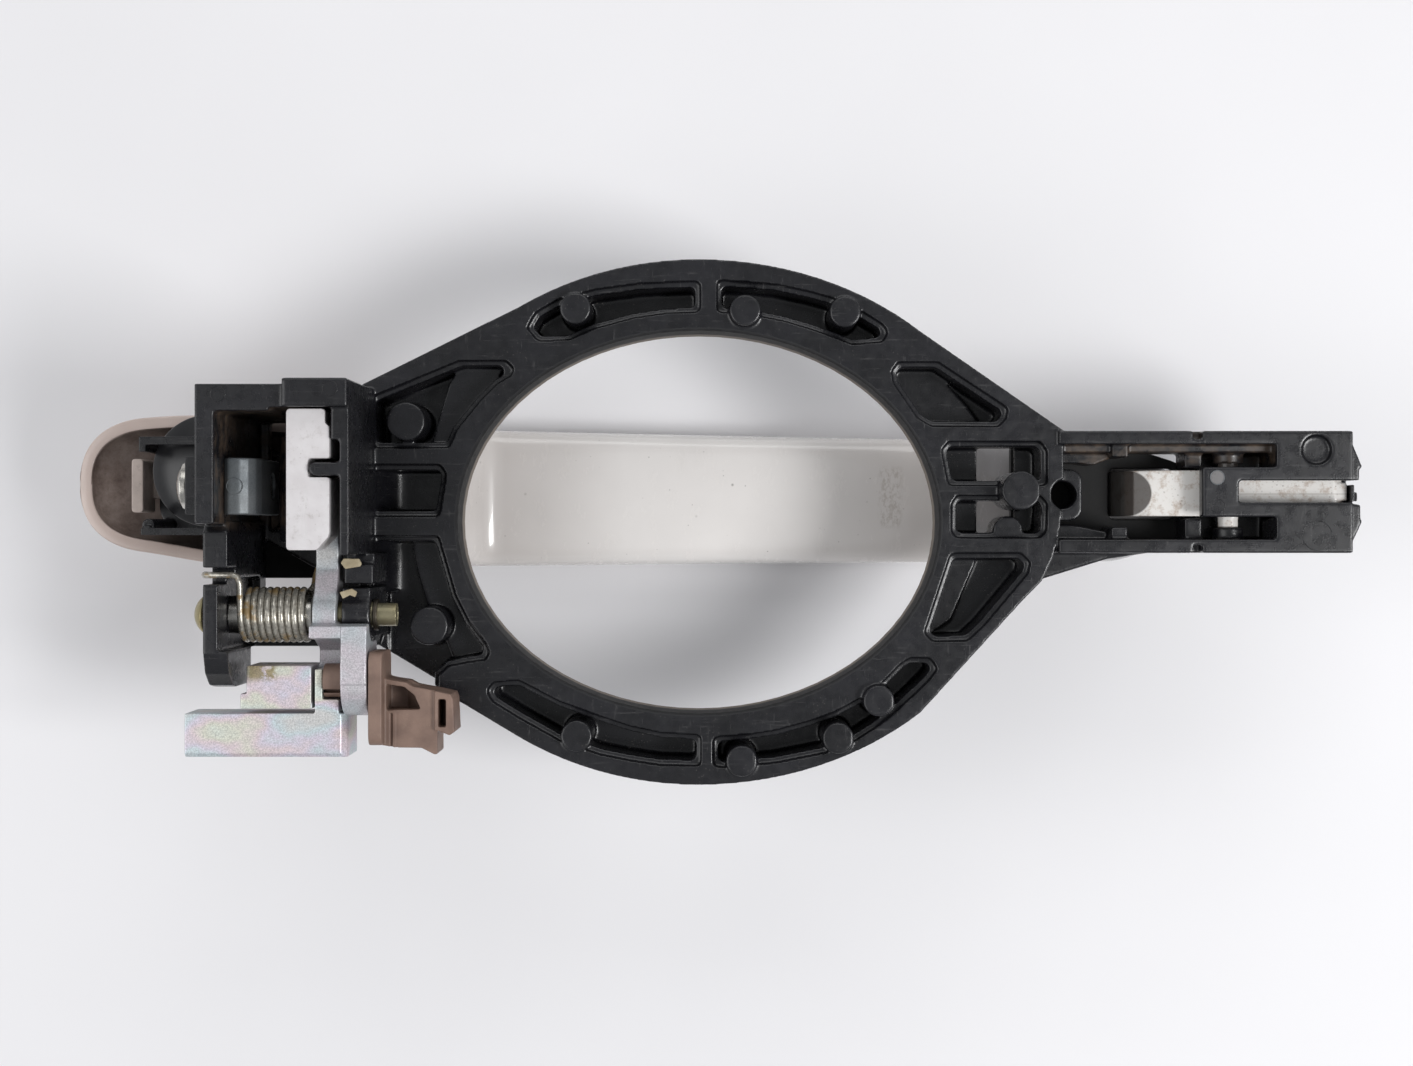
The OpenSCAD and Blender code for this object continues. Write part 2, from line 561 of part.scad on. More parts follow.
arm_side = [[82.5, foot_z], [91, foot_z], [92.4, 33], [94.5, 36.6], [97, 38.5], [100, 38.8], [126, 38.8],
    [127.7, 39.6], [127.7, 42.6], [126, 43.4], [94, 43.4], [89, 42.4], [86, 40.4], [84, 37.6], [82.7, 34]];

module front_arm() color([0.87, 0.86, 0.84]) {
    slab_y(arm_y[0], arm_y[1]) polygon(arm_side);
    block([125, 128.7], [4.3, 7.9], [39.8, 43.3]);
    rod_y(rail_out[0] + 0.8, rail_out[1] - 0.8, pivot_x, pivot_z, trunnion_r);
}

// ---------- parts that move with the crank ----------

arm_x = [-76.8, -72.4];
prong_x = [-70.9, -65.9];
arm_shape = [[3, 4], [9, 1.6], [19, 1.2], [22.4, 3.2], [24.6, 3.2], [25.4, 2.2], [25.2, -1], [23.5, -3.2],
    [12, -3.9], [3, -4.6]];
riser_shape = [[-3, -4], [-3, -12], [-18.8, -12], [-18.8, -2.4], [-7, -2.4], [-4, 1]];
bridge_shape = [[-1.6, 5.4], [-2, 7.6], [-4.3, 7.8], [-4.8, 2], [-6.4, -3], [-3, -5], [-1, -2]];
prong_shape = [[-1.6, 5.4], [-2, 8], [-9, 8.8], [-13, 9], [-19, 2], [-14, -5], [-5.2, -5], [-5.2, 0]];

module about_shaft(x0, x1) slab_x(x0, x1) translate([shaft_y, shaft_z]) children();

module bell_crank() color([0.66, 0.65, 0.66]) difference() {
    union() {
        rod_x(-77, arm_x[1], shaft_y, shaft_z, 5);
        about_shaft(arm_x[0], arm_x[1]) polygon(arm_shape);
        about_shaft(arm_x[0], prong_x[0] + 0.5) polygon(riser_shape);
        about_shaft(arm_x[0] - 0.3, prong_x[1]) polygon(bridge_shape);
        about_shaft(prong_x[0], prong_x[1]) polygon(prong_shape);
        rod_x(prong_x[0], prong_x[1], eye_y, eye_z, 6.8);
        block([-89.8, -77.1], [-36.2, -27.9], weight_z);
        block([-91, -89.7], [-36.2, -33.3], weight_z);
        block([-77.2, arm_x[0] + 1], [-34.5, -27.9], [46, 55.4]);
        rod_y(-41.5, -36, -73.9, 51.2, 2);
    }
    rod_x(-78, -71, shaft_y, shaft_z, shaft_r + run_fit);
    rod_x(-71.8, -64, shaft_y, shaft_z, 5.2);
    block([-71.8, -64], [-23.3, -10], [44, shaft_z]);
    rod_x(-71.5, -64, eye_y, eye_z, eye_r);
    block([-77.3, prong_x[0]], [-35.2, -27], [55.8, 65]);
}

module counterweight() color([0.7, 0.68, 0.66]) difference() {
    union() {
        slab_x(-101.8, -70.3) polygon([[-45.6, weight_z[0]], [-38.1, weight_z[0]], [-37.1, weight_z[0] + 1],
            [-37.1, weight_z[1]], [-44.9, weight_z[1]], [-45.6, weight_z[1] - 0.7]]);
        block([-76.6, -75.1], [-37.5, -28.6], [56, weight_z[1]]);
        block([-75.2, -72], [-37.5, -34.4], [56, weight_z[1]]);
    }
    rod_y(-41.5, -37, -73.9, 51.2, 2);
    translate([-70.3, -42, weight_z[1]]) rotate([0, 45, 0]) cube([1.8, 20, 1.8], center = true);
}

// ---------- rod clip ----------

clip_plate = [[-64, -30], [-61.6, -30.6], [-58.9, -31], [-57.5, -31.8], [-52.8, -32.7], [-52.7, -44.8],
    [-53.2, -45], [-55.8, -43.7], [-60.9, -43.6], [-64.2, -43]];
clip_recess = [[-62.6, -31.4], [-59.2, -31.9], [-57.2, -33.5], [-56, -36.2], [-62.6, -36.4]];
clip_lip = [[-53.2, -32.6], [-50, -33.3], [-49.6, -34.4], [-49.3, -40.5], [-50.3, -41.2], [-52.4, -40.3],
    [-53.2, -40.3]];

module rod_clip() color([0.45, 0.35, 0.3]) {
    difference() {
        rod_x(-74.9, -65.5, eye_y, eye_z, 3.3);
        block([-76, -71.2], [eye_y - 2.3, eye_y - 1.6], [eye_z, eye_z + 4]);
    }
    slab_x(-65.6, -63) rounded(2) rect([-43, -25], [53.5, 66.5]);
    difference() {
        union() {
            slab_z(53, 63) polygon(clip_plate);
            slab_z(53, 64) polygon(clip_lip);
        }
        slab_z(57, 66) polygon(clip_recess);
        block([-52.5, -51], [-39.6, -34.2], [56, 66]);
        for (x = [-61.8, -60.8]) block([x, x + 0.4], [-46, -36.9], [62.4, 64]);
        rod_y(-47, -30, -57.5, 57, 1.6);
    }
}

base_frame();
front_gasket();
rear_gasket();
end_cover();
cover_carrier();
cover_clip();
lock_blank();
cover_screw();
clamp_nut();
crank_shaft();
shaft_washer();
spring_bush();
torsion_spring();
stop_pad();
grip_outer_shell();
grip_inner_shell();
grip_leg();
hook_shoe();
front_arm();
bell_crank();
counterweight();
rod_clip();
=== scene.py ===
# %% [markdown]
# # An outside door handle of a car
# The handle lies on its painted face, so the camera looks at the side that faces the door.
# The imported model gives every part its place. This script makes copies with rounded moulded
# edges, lofts the painted skins, winds the spring and gives each part its finish.

# %% The frame and the tools
import json
import math

import bmesh
import bpy
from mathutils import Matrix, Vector


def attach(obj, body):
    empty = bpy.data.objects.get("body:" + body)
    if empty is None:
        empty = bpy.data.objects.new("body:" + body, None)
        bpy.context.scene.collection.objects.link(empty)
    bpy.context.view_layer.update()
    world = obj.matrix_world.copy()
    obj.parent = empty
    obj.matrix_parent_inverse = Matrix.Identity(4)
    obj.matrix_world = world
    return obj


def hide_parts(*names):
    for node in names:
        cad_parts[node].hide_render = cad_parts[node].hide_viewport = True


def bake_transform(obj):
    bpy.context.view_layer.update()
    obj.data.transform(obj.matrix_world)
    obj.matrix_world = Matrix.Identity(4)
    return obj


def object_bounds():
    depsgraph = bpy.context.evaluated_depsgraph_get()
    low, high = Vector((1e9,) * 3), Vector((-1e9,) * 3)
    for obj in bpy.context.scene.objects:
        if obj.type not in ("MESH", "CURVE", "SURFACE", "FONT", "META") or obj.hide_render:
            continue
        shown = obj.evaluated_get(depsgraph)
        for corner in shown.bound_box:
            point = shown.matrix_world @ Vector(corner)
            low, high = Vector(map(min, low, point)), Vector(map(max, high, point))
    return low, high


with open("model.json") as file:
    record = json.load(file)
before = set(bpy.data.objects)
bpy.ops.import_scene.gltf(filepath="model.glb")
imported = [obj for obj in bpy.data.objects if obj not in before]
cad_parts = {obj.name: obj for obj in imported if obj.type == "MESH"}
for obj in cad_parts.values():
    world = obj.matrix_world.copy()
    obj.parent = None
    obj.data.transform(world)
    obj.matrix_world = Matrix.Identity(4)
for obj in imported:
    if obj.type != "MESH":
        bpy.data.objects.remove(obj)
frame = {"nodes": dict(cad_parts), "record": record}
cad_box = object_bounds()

MM = 0.001
nodes = frame["nodes"]
bodies = frame["record"]["behaviour"]["bodies"]
body_of = {node: body for body, members in bodies.items() for node in members}
print("nodes", len(nodes), "on bodies", list(bodies))

# %% [markdown]
# ## Camera, floor and light
# The camera looks straight down at the middle of the handle from nearly half a metre away.
# The lamps stand beside the table and not above it, so flat black faces reflect little and stay
# dark, while rounded edges catch a bright line. The key lamp is on the right, a little to the front.

# %% Camera
CAMERA_PLACE = (-0.0008, -0.0022, 0.478)
LENS, SENSOR = 54.8, 36     # millimetres
camera = bpy.data.objects.new("camera", bpy.data.cameras.new("camera"))
camera.location = CAMERA_PLACE
camera.data.lens = LENS
camera.data.sensor_width = SENSOR
camera.data.clip_start = 0.01
bpy.context.scene.collection.objects.link(camera)
bpy.context.scene.camera = camera
print("camera", CAMERA_PLACE[2], "m up, lens", LENS, "mm")


# %% Floor
def link(name, mesh):
    obj = bpy.data.objects.new(name, mesh)
    bpy.context.scene.collection.objects.link(obj)
    return obj


FLOOR_HALF = 3.0
FLOOR_Z = -0.2 * MM      # a hair below the grip, so the two faces do not flicker
corners = [(x * FLOOR_HALF, y * FLOOR_HALF, FLOOR_Z) for x, y in ((-1, -1), (1, -1), (1, 1), (-1, 1))]
floor_mesh = bpy.data.meshes.new("floor")
floor_mesh.from_pydata(corners, [], [(0, 1, 2, 3)])
floor = link("floor", floor_mesh)
print("floor", 2 * FLOOR_HALF, "m wide")

# %% Lamps
AIM = Vector((0, 0, 0.03))
LAMPS = {     # place and size in metres, then watts
    "key": ((0.66, -0.20, 0.86), (0.36, 0.36), 7.4),
    "left_fill": ((-0.80, -0.15, 0.80), (0.9, 0.9), 5.1),
    "far_fill": ((0.1, 0.95, 0.75), (1.2, 0.6), 3.7)}
for name, (spot, size, power) in LAMPS.items():
    data = bpy.data.lights.new(name, "AREA")
    data.shape = "RECTANGLE"
    data.size, data.size_y = size
    data.energy = power
    lamp = bpy.data.objects.new(name, data)
    lamp.location = spot
    lamp.rotation_euler = (AIM - Vector(spot)).to_track_quat("-Z", "Y").to_euler()
    bpy.context.scene.collection.objects.link(lamp)
    print(name, power, "W")

# %% Light of the room
ROOM_COLOUR, ROOM_STRENGTH = (0.95, 0.97, 1.0, 1), 0.38
world = bpy.data.worlds.new("studio")
world.use_nodes = True
room = world.node_tree.nodes["Background"]
room.inputs["Color"].default_value = ROOM_COLOUR
room.inputs["Strength"].default_value = ROOM_STRENGTH
bpy.context.scene.world = world
bpy.context.scene.view_settings.view_transform = "Standard"
print("room light", ROOM_STRENGTH)

# %% [markdown]
# ## Finishes
# Every finish is a small node tree on object coordinates, so its pattern stays on the part when
# the part moves. The helpers below add one node each and return the socket that the next node
# reads, so a finish can be written as one short list of steps.


# %% A material and its sockets
def material(name, rough, metal=0.0, coat=0.0):
    mat = bpy.data.materials.new(name)
    mat.use_nodes = True
    shader = mat.node_tree.nodes["Principled BSDF"]
    shader.inputs["Roughness"].default_value = rough
    shader.inputs["Metallic"].default_value = metal
    shader.inputs["Coat Weight"].default_value = coat
    shader.inputs["Coat Roughness"].default_value = 0.06
    shader.inputs["IOR"].default_value = 1.5
    return mat, mat.node_tree, shader


def put(tree, value, socket):
    if isinstance(value, bpy.types.NodeSocket):
        tree.links.new(value, socket)
    else:
        socket.default_value = value


def rgb(r, g, b):
    """A colour from 0..255 screen values, turned to linear light."""
    screen = [v / 255 for v in (r, g, b)]
    return tuple(((v + 0.055) / 1.055) ** 2.4 if v > 10 / 255 else v / 12.92 for v in screen) + (1,)


print("middle grey", rgb(128, 128, 128))


# %% Sums and colours
def calc(tree, what, a, b=0.0):
    node = tree.nodes.new("ShaderNodeMath")
    node.operation = what
    put(tree, a, node.inputs[0])
    put(tree, b, node.inputs[1])
    return node.outputs["Value"]


def band(tree, value, low, high):
    """Maps low..high to 0..1 and clamps it."""
    node = tree.nodes.new("ShaderNodeMapRange")
    put(tree, value, node.inputs["Value"])
    node.inputs["From Min"].default_value = low
    node.inputs["From Max"].default_value = high
    return node.outputs["Result"]


def blend(tree, share, a, b):
    node = tree.nodes.new("ShaderNodeMix")
    node.data_type = "RGBA"
    put(tree, share, node.inputs["Factor"])
    put(tree, a, node.inputs["A"])
    put(tree, b, node.inputs["B"])
    return node.outputs["Result"]


def tinge(tree, base, share, strength, colour):
    """Lays a colour over base where share is 1, no stronger than strength."""
    return blend(tree, calc(tree, "MULTIPLY", share, strength), base, colour)


def ramp(tree, value, stops):
    node = tree.nodes.new("ShaderNodeValToRGB")
    tree.links.new(value, node.inputs["Fac"])
    elements = node.color_ramp.elements
    while len(elements) < len(stops):
        elements.new(0.5)
    for element, (at, colour) in zip(elements, stops):
        element.position = at
        element.color = colour
    return node.outputs["Color"]


# %% Patterns on a part
def place(tree, scale=(1, 1, 1)):
    """Object coordinates in millimetres, stretched by scale."""
    coords = tree.nodes.new("ShaderNodeTexCoord")
    mapping = tree.nodes.new("ShaderNodeMapping")
    mapping.inputs["Scale"].default_value = [v / MM for v in scale]
    tree.links.new(coords.outputs["Object"], mapping.inputs["Vector"])
    return mapping.outputs["Vector"]


def noise(tree, where, scale, detail=4, rough=0.55):
    node = tree.nodes.new("ShaderNodeTexNoise")
    node.inputs["Scale"].default_value = scale
    node.inputs["Detail"].default_value = detail
    node.inputs["Roughness"].default_value = rough
    tree.links.new(where, node.inputs["Vector"])
    return node.outputs["Fac"]


def specks(tree, where, scale, size):
    """White dots, one in each cell of a random pattern."""
    node = tree.nodes.new("ShaderNodeTexVoronoi")
    node.inputs["Scale"].default_value = scale
    tree.links.new(where, node.inputs["Vector"])
    return band(tree, node.outputs["Distance"], size, 0.0)


def bump(tree, height, depth_mm, strength):
    node = tree.nodes.new("ShaderNodeBump")
    node.inputs["Distance"].default_value = depth_mm * MM
    node.inputs["Strength"].default_value = strength
    tree.links.new(height, node.inputs["Height"])
    return node.outputs["Normal"]


# %% Places on a part
ANY = (None, None, None)     # a corner with no limit on any axis


def axes(tree):
    """X, Y and Z of the object coordinates, each as its own socket, in metres."""
    coords = tree.nodes.new("ShaderNodeTexCoord")
    split = tree.nodes.new("ShaderNodeSeparateXYZ")
    tree.links.new(coords.outputs["Object"], split.inputs["Vector"])
    return split.outputs


def zone(tree, low, high, soft):
    """1 inside a box in millimetres and 0 outside, with soft sides."""
    sockets = axes(tree)
    share = 1.0
    for axis, lo, hi in zip("XYZ", low, high):
        if lo is not None:
            side = band(tree, sockets[axis], (lo - soft) * MM, lo * MM)
            share = calc(tree, "MULTIPLY", share, side)
        if hi is not None:
            side = band(tree, sockets[axis], (hi + soft) * MM, hi * MM)
            share = calc(tree, "MULTIPLY", share, side)
    return share


def disc(tree, centre, radius, soft=0.15):
    """1 inside a circle in the XY plane, in millimetres, and 0 outside."""
    sockets = axes(tree)
    along = calc(tree, "POWER", calc(tree, "SUBTRACT", sockets["X"], centre[0] * MM), 2)
    across = calc(tree, "POWER", calc(tree, "SUBTRACT", sockets["Y"], centre[1] * MM), 2)
    far = calc(tree, "SQRT", calc(tree, "ADD", along, across))
    return band(tree, far, (radius + soft) * MM, (radius - soft) * MM)


# %% [markdown]
# ### Black nylon
# The frame is glass-filled nylon: satin black, with a fine grain, pale scuffs where parts rubbed
# on it, and brown road dirt in the rails and in the mechanism box. The wall round the hand opening
# is darkened with painted shade. A picture of dirt would need an unwrapped surface, so noise is
# used instead and soft boxes say where each kind of dirt lies.

# %% Places and colours of the frame
RING_LOW = ((-50, None, None), (62, None, 37.5))
RAIL_WALL = ((72, 12.4, None), (114, 18, 47.2))
BOX_INSIDE = ((-93.5, 0, None), (-76, 22, 76))
SLAB_TOP = ((None, None, 48.6), ANY)
PIN_SPOT, PIN_R = (101.1, 8.9), 1.35
OPENING_SHIFT, OPENING_HALF = 2.4, (48.6, 38.7)     # how far left the opening lies, and its half axes
LIP_Z = (39.8, 38.6)
NYLON, NYLON_SHADE = rgb(17, 17, 20), rgb(27, 27, 31)
SCUFF, DUST, ROAD_DIRT = rgb(88, 86, 86), rgb(168, 162, 156), rgb(92, 76, 62)
# the first colour on the next line is painted shade for the wall round the hand opening
WALL_SHADE_BLACK, CHALK, PIN_GREY = rgb(12, 12, 14), rgb(128, 119, 110), rgb(126, 124, 124)
print("opening", [2 * v for v in OPENING_HALF], "mm")


# %% Black nylon
def hole_wall(tree):
    """1 on the wall around the hand opening, and 1 on its lowest edge, which is chalky with wear."""
    sockets = axes(tree)
    shifted = calc(tree, "ADD", sockets["X"], OPENING_SHIFT * MM)
    along = calc(tree, "POWER", calc(tree, "DIVIDE", shifted, OPENING_HALF[0] * MM), 2)
    across = calc(tree, "POWER", calc(tree, "DIVIDE", sockets["Y"], OPENING_HALF[1] * MM), 2)
    inner = band(tree, calc(tree, "ADD", along, across), 1.012, 1.0)
    low_edge = band(tree, sockets["Z"], LIP_Z[0] * MM, LIP_Z[1] * MM)
    return inner, calc(tree, "MULTIPLY", inner, low_edge)


def nylon_scuffs(tree):
    along = band(tree, noise(tree, place(tree, (0.12, 1.7, 0.4)), 0.9, 5, 0.7), 0.6, 0.74)
    across = band(tree, noise(tree, place(tree, (1.5, 0.2, 0.4)), 0.9, 5, 0.7), 0.62, 0.74)
    return calc(tree, "MAXIMUM", along, across)


def nylon_dust(tree, where):
    """Pale specks in patches, most of them on the lower parts of the ring."""
    low = zone(tree, *RING_LOW, 2)
    patches = band(tree, noise(tree, where, 0.25), 0.5, 0.62)
    dust = calc(tree, "MULTIPLY", specks(tree, where, 1.5, 0.2), patches)
    return calc(tree, "MULTIPLY", dust, calc(tree, "ADD", calc(tree, "MULTIPLY", low, 0.6), 0.2))


def make_nylon():
    mat, tree, shader = material("black_nylon", 0.36)
    where = place(tree)
    patches = band(tree, noise(tree, where, 0.09, 3), 0.35, 0.7)
    base = blend(tree, patches, NYLON, NYLON_SHADE)
    scuffs = nylon_scuffs(tree)
    base = tinge(tree, base, scuffs, 0.3, SCUFF)
    base = blend(tree, nylon_dust(tree, where), base, DUST)
    soiled = calc(tree, "MAXIMUM", zone(tree, *RAIL_WALL, 1), zone(tree, *BOX_INSIDE, 2))
    grime = band(tree, noise(tree, where, 0.3, 6, 0.65), 0.42, 0.68)
    dirt = calc(tree, "MULTIPLY", soiled, grime)
    base = tinge(tree, base, dirt, 0.8, ROAD_DIRT)
    wall, lip = hole_wall(tree)
    # painted shade: the wall round the hand opening is darkened
    base = tinge(tree, base, wall, 0.8, WALL_SHADE_BLACK)
    base = tinge(tree, base, lip, 0.8, CHALK)
    pin = calc(tree, "MULTIPLY", disc(tree, PIN_SPOT, PIN_R), zone(tree, *SLAB_TOP, 0.1))
    base = tinge(tree, base, pin, 0.7, PIN_GREY)
    tree.links.new(base, shader.inputs["Base Color"])
    gloss = band(tree, noise(tree, where, 0.5, 5), 0.3, 0.75)
    rough = calc(tree, "ADD", calc(tree, "MULTIPLY", gloss, 0.16), 0.22)
    worn = calc(tree, "MAXIMUM", dirt, scuffs)
    rough = calc(tree, "ADD", rough, calc(tree, "MULTIPLY", worn, 0.25))
    rough = calc(tree, "ADD", rough, calc(tree, "MULTIPLY", wall, 0.5))
    tree.links.new(rough, shader.inputs["Roughness"])
    tree.links.new(bump(tree, noise(tree, where, 3.0, 3), 0.04, 0.5), shader.inputs["Normal"])
    return mat


black_nylon = make_nylon()
print(black_nylon.name, len(black_nylon.node_tree.nodes), "nodes")

# %% [markdown]
# ### Car paint
# The grip is sprayed off-white under a clear coat. The coat gives the mirror gloss and the paint
# below gives the colour, so the shader has both. Grit has left small dark dots, a film of dirt
# lies at both ends, and the front foot, which the frame covers, is greyed as painted shade. The
# cover is duller.

# %% Places and colours of the paint
REAR_END, FRONT_END = (ANY, (-44, None, None)), ((44, None, None), ANY)
# painted shade: the front foot, which lies under the frame, is greyed from this corner on
SHADED_FRONT_FOOT = ((52.5, None, 14.5), ANY)
SMUDGE_BOX = ((37.5, 0, None), (40.5, 11, 20))
GRIT, FILM, SMEAR = rgb(96, 90, 82), rgb(176, 166, 160), rgb(150, 138, 126)
SMUDGE, FOOT_SHADE_GREY = rgb(150, 136, 122), rgb(100, 98, 99)
print("grey foot from", SHADED_FRONT_FOOT[0][0], "mm")


# %% Car paint
def paint_dots(tree, where):
    dots = calc(tree, "MAXIMUM", specks(tree, where, 0.17, 0.07), specks(tree, where, 0.45, 0.09))
    return calc(tree, "MULTIPLY", dots, band(tree, noise(tree, where, 0.13, 2), 0.45, 0.55))


def make_paint(name, colour, worn, dirt_share, film_share, coat):
    mat, tree, shader = material(name, 0.3, coat=coat)
    where = place(tree)
    base = blend(tree, band(tree, noise(tree, where, 0.05, 3), 0.3, 0.7), colour, worn)
    base = tinge(tree, base, paint_dots(tree, where), 0.75, GRIT)
    smear = band(tree, noise(tree, place(tree, (1, 0.35, 1)), 0.35, 7, 0.7), 0.56, 0.74)
    film = calc(tree, "MAXIMUM", zone(tree, *REAR_END, 26), zone(tree, *FRONT_END, 26))
    base = tinge(tree, base, film, film_share, FILM)
    base = tinge(tree, base, smear, dirt_share, SMEAR)
    rubbed = zone(tree, *SMUDGE_BOX, 1.5)
    streaks = band(tree, noise(tree, place(tree, (1.6, 1, 1)), 0.8, 5, 0.7), 0.45, 0.6)
    base = tinge(tree, base, calc(tree, "MULTIPLY", rubbed, streaks), 0.4, SMUDGE)
    # painted shade: grey laid over the front foot under the frame
    base = tinge(tree, base, zone(tree, *SHADED_FRONT_FOOT, 1.5), 0.88, FOOT_SHADE_GREY)
    tree.links.new(base, shader.inputs["Base Color"])
    rough = calc(tree, "ADD", calc(tree, "MULTIPLY", smear, 0.25), 0.24)
    tree.links.new(rough, shader.inputs["Roughness"])
    tree.links.new(bump(tree, noise(tree, where, 0.35, 2), 0.02, 0.25), shader.inputs["Normal"])
    return mat


grip_paint = make_paint("grip_paint", rgb(236, 232, 229), rgb(229, 225, 222), 0.12, 0.4, 0.7)
cover_paint = make_paint("cover_paint", rgb(208, 191, 183), rgb(190, 171, 162), 0.5, 0.1, 0.2)
print(grip_paint.name, cover_paint.name)

# %% [markdown]
# ### Pull arm
# The arm has the grip's paint, but it works in the rails, where grease holds the dirt. Rusty
# patches and clusters of grit cover it. Its foot, its two sides and the end behind the foot are
# dark brown, nearly black at the end: dirt together with painted shade of the bend under the frame
# and of the gaps in the rails.

# %% Places and colours of the arm
ARM_FOOT, ARM_FOOT_R = (84.6, 5.85), 4.7
BEHIND_FOOT = (ANY, (84.6, None, None))
# dirt and painted shade: these places darken the arm's foot, its two sides and its end
SHADED_FAR_SIDE, SHADED_NEAR_SIDE = ((None, 10.9, None), ANY), (ANY, (None, -1.0, None))
DARKEST_END = (ANY, (84.4, None, None))
ARM_GROOVE = ((104, 5.62, None), (None, 5.74, None))
ARM_WHITE, RUST, ARM_GRIT = rgb(222, 219, 215), rgb(150, 122, 96), rgb(72, 52, 38)
GROOVE_GREY, DIRT_AND_SHADE_BROWN, DIRT_AND_SHADE_BLACK = rgb(140, 130, 120), rgb(50, 41, 35), rgb(24, 20, 18)
print("arm's foot", 2 * ARM_FOOT_R, "mm across")


# %% Dirty paint of the pull arm
def make_arm_paint():
    mat, tree, shader = material("arm_paint", 0.4, coat=0.3)
    where = place(tree)
    rust = band(tree, noise(tree, where, 0.42, 7, 0.7), 0.5, 0.64)
    grit = specks(tree, where, 1.3, 0.28)
    spots = calc(tree, "MULTIPLY", grit, band(tree, noise(tree, where, 0.3, 3), 0.42, 0.58))
    base = tinge(tree, ARM_WHITE, rust, 0.6, RUST)
    base = tinge(tree, base, spots, 0.8, ARM_GRIT)
    base = tinge(tree, base, zone(tree, *ARM_GROOVE, 0.06), 0.5, GROOVE_GREY)
    # dirt and painted shade: foot, sides and end go dark brown, nearly black at the end
    foot = calc(tree, "MAXIMUM", disc(tree, ARM_FOOT, ARM_FOOT_R), zone(tree, *BEHIND_FOOT, 0.4))
    foot = calc(tree, "MAXIMUM", foot, zone(tree, *SHADED_FAR_SIDE, 0.2))
    foot = calc(tree, "MAXIMUM", foot, zone(tree, *SHADED_NEAR_SIDE, 0.2))
    foot = calc(tree, "MULTIPLY", foot, 0.94)
    base = blend(tree, foot, base, blend(tree, zone(tree, *DARKEST_END, 0.5), DIRT_AND_SHADE_BROWN, DIRT_AND_SHADE_BLACK))
    tree.links.new(base, shader.inputs["Base Color"])
    tree.links.new(bump(tree, spots, 0.05, 0.5), shader.inputs["Normal"])
    return mat


arm_paint = make_arm_paint()
print(arm_paint.name, len(arm_paint.node_tree.nodes), "nodes")

# %% [markdown]
# ### Inside of the cover
# Nobody polishes the inside of the cover, so it has only a thin coat of paint and years of dust.
# It gets darker towards the bottom and towards its closed end, as painted shade of the hollow.

# %% Places and colours of the cover's inside
# painted shade: the hollow gets darker towards its bottom and towards its closed end
SHADED_COVER_FLOOR, SHADED_CLOSED_END = (ANY, (None, None, 12)), ((-112, None, None), ANY)
PALE_DUST, DARK_DUST = rgb(168, 153, 145), rgb(118, 102, 95)
HOLLOW_SHADE, FINE_DIRT = rgb(66, 55, 50), rgb(70, 58, 52)
# the painted shade of the hollow reaches up to this height
print("dirt up to", SHADED_COVER_FLOOR[1][2], "mm")


# %% Inside of the cover
def make_cover_inside():
    mat, tree, shader = material("cover_inside", 0.6)
    where = place(tree)
    clouds = band(tree, noise(tree, where, 0.16, 6, 0.65), 0.35, 0.65)
    base = blend(tree, clouds, DARK_DUST, PALE_DUST)
    # painted shade of the hollow, towards its bottom and its closed end
    deep = calc(tree, "MAXIMUM", zone(tree, *SHADED_COVER_FLOOR, 15), zone(tree, *SHADED_CLOSED_END, 12))
    base = tinge(tree, base, deep, 0.75, HOLLOW_SHADE)
    fine = band(tree, noise(tree, where, 1.4, 5, 0.7), 0.5, 0.7)
    base = tinge(tree, base, fine, 0.3, FINE_DIRT)
    tree.links.new(base, shader.inputs["Base Color"])
    tree.links.new(bump(tree, fine, 0.04, 0.4), shader.inputs["Normal"])
    return mat


cover_inside = make_cover_inside()
print(cover_inside.name, len(cover_inside.node_tree.nodes), "nodes")

# %% [markdown]
# ### Zinc and steel
# Die-cast zinc is bead-blasted and passivated. The thin passive film shows soft pink, blue, green
# and yellow, so a slow noise picks the tint and a fine noise gives the blasted grain. The same
# tree with other tints makes the steel parts.

# %% Places and colours of the metals
CRANK_BLOCK = ((-92, -37.2, None), (-77.6, -27, None))
GREASE_STAIN = ((-89, -30, None), (-84.6, -27, None))
STAIN_BROWN, GRAIN_DARK, WHITE = rgb(150, 136, 84), rgb(120, 119, 121), (1, 1, 1, 1)
RAINBOW = [(0.3, rgb(214, 222, 214)), (0.4, rgb(220, 220, 206)), (0.47, rgb(224, 209, 213)),
           (0.53, rgb(218, 211, 224)), (0.6, rgb(205, 218, 222)), (0.7, rgb(214, 214, 213))]
GREY = [(0.3, rgb(203, 203, 205)), (0.42, rgb(212, 205, 211)),
        (0.55, rgb(198, 204, 208)), (0.7, rgb(208, 208, 207))]
BLUE_GREY = [(0.35, rgb(104, 110, 114)), (0.65, rgb(126, 130, 132))]
YELLOW = [(0.35, rgb(160, 148, 108)), (0.65, rgb(146, 141, 118))]
BRIGHT = [(0.35, rgb(206, 204, 198)), (0.65, rgb(184, 181, 174))]
DARK = [(0.4, rgb(70, 66, 60)), (0.6, rgb(94, 88, 78))]
print("rainbow", len(RAINBOW), "tints")


# %% Zinc and steel
def block_tint(tree, where, tint, stops):
    """Gives the crank's block its own tints and a stain of grease."""
    block = zone(tree, *CRANK_BLOCK, 0.5)
    own = ramp(tree, noise(tree, place(tree, (1, 1.5, 1)), 0.1, 2, 0.45), stops)
    tint = blend(tree, block, tint, own)
    stain = zone(tree, *GREASE_STAIN, 1.2)
    stain = calc(tree, "MULTIPLY", stain, band(tree, noise(tree, where, 0.7, 5, 0.6), 0.42, 0.52))
    return tinge(tree, tint, stain, 0.8, STAIN_BROWN)


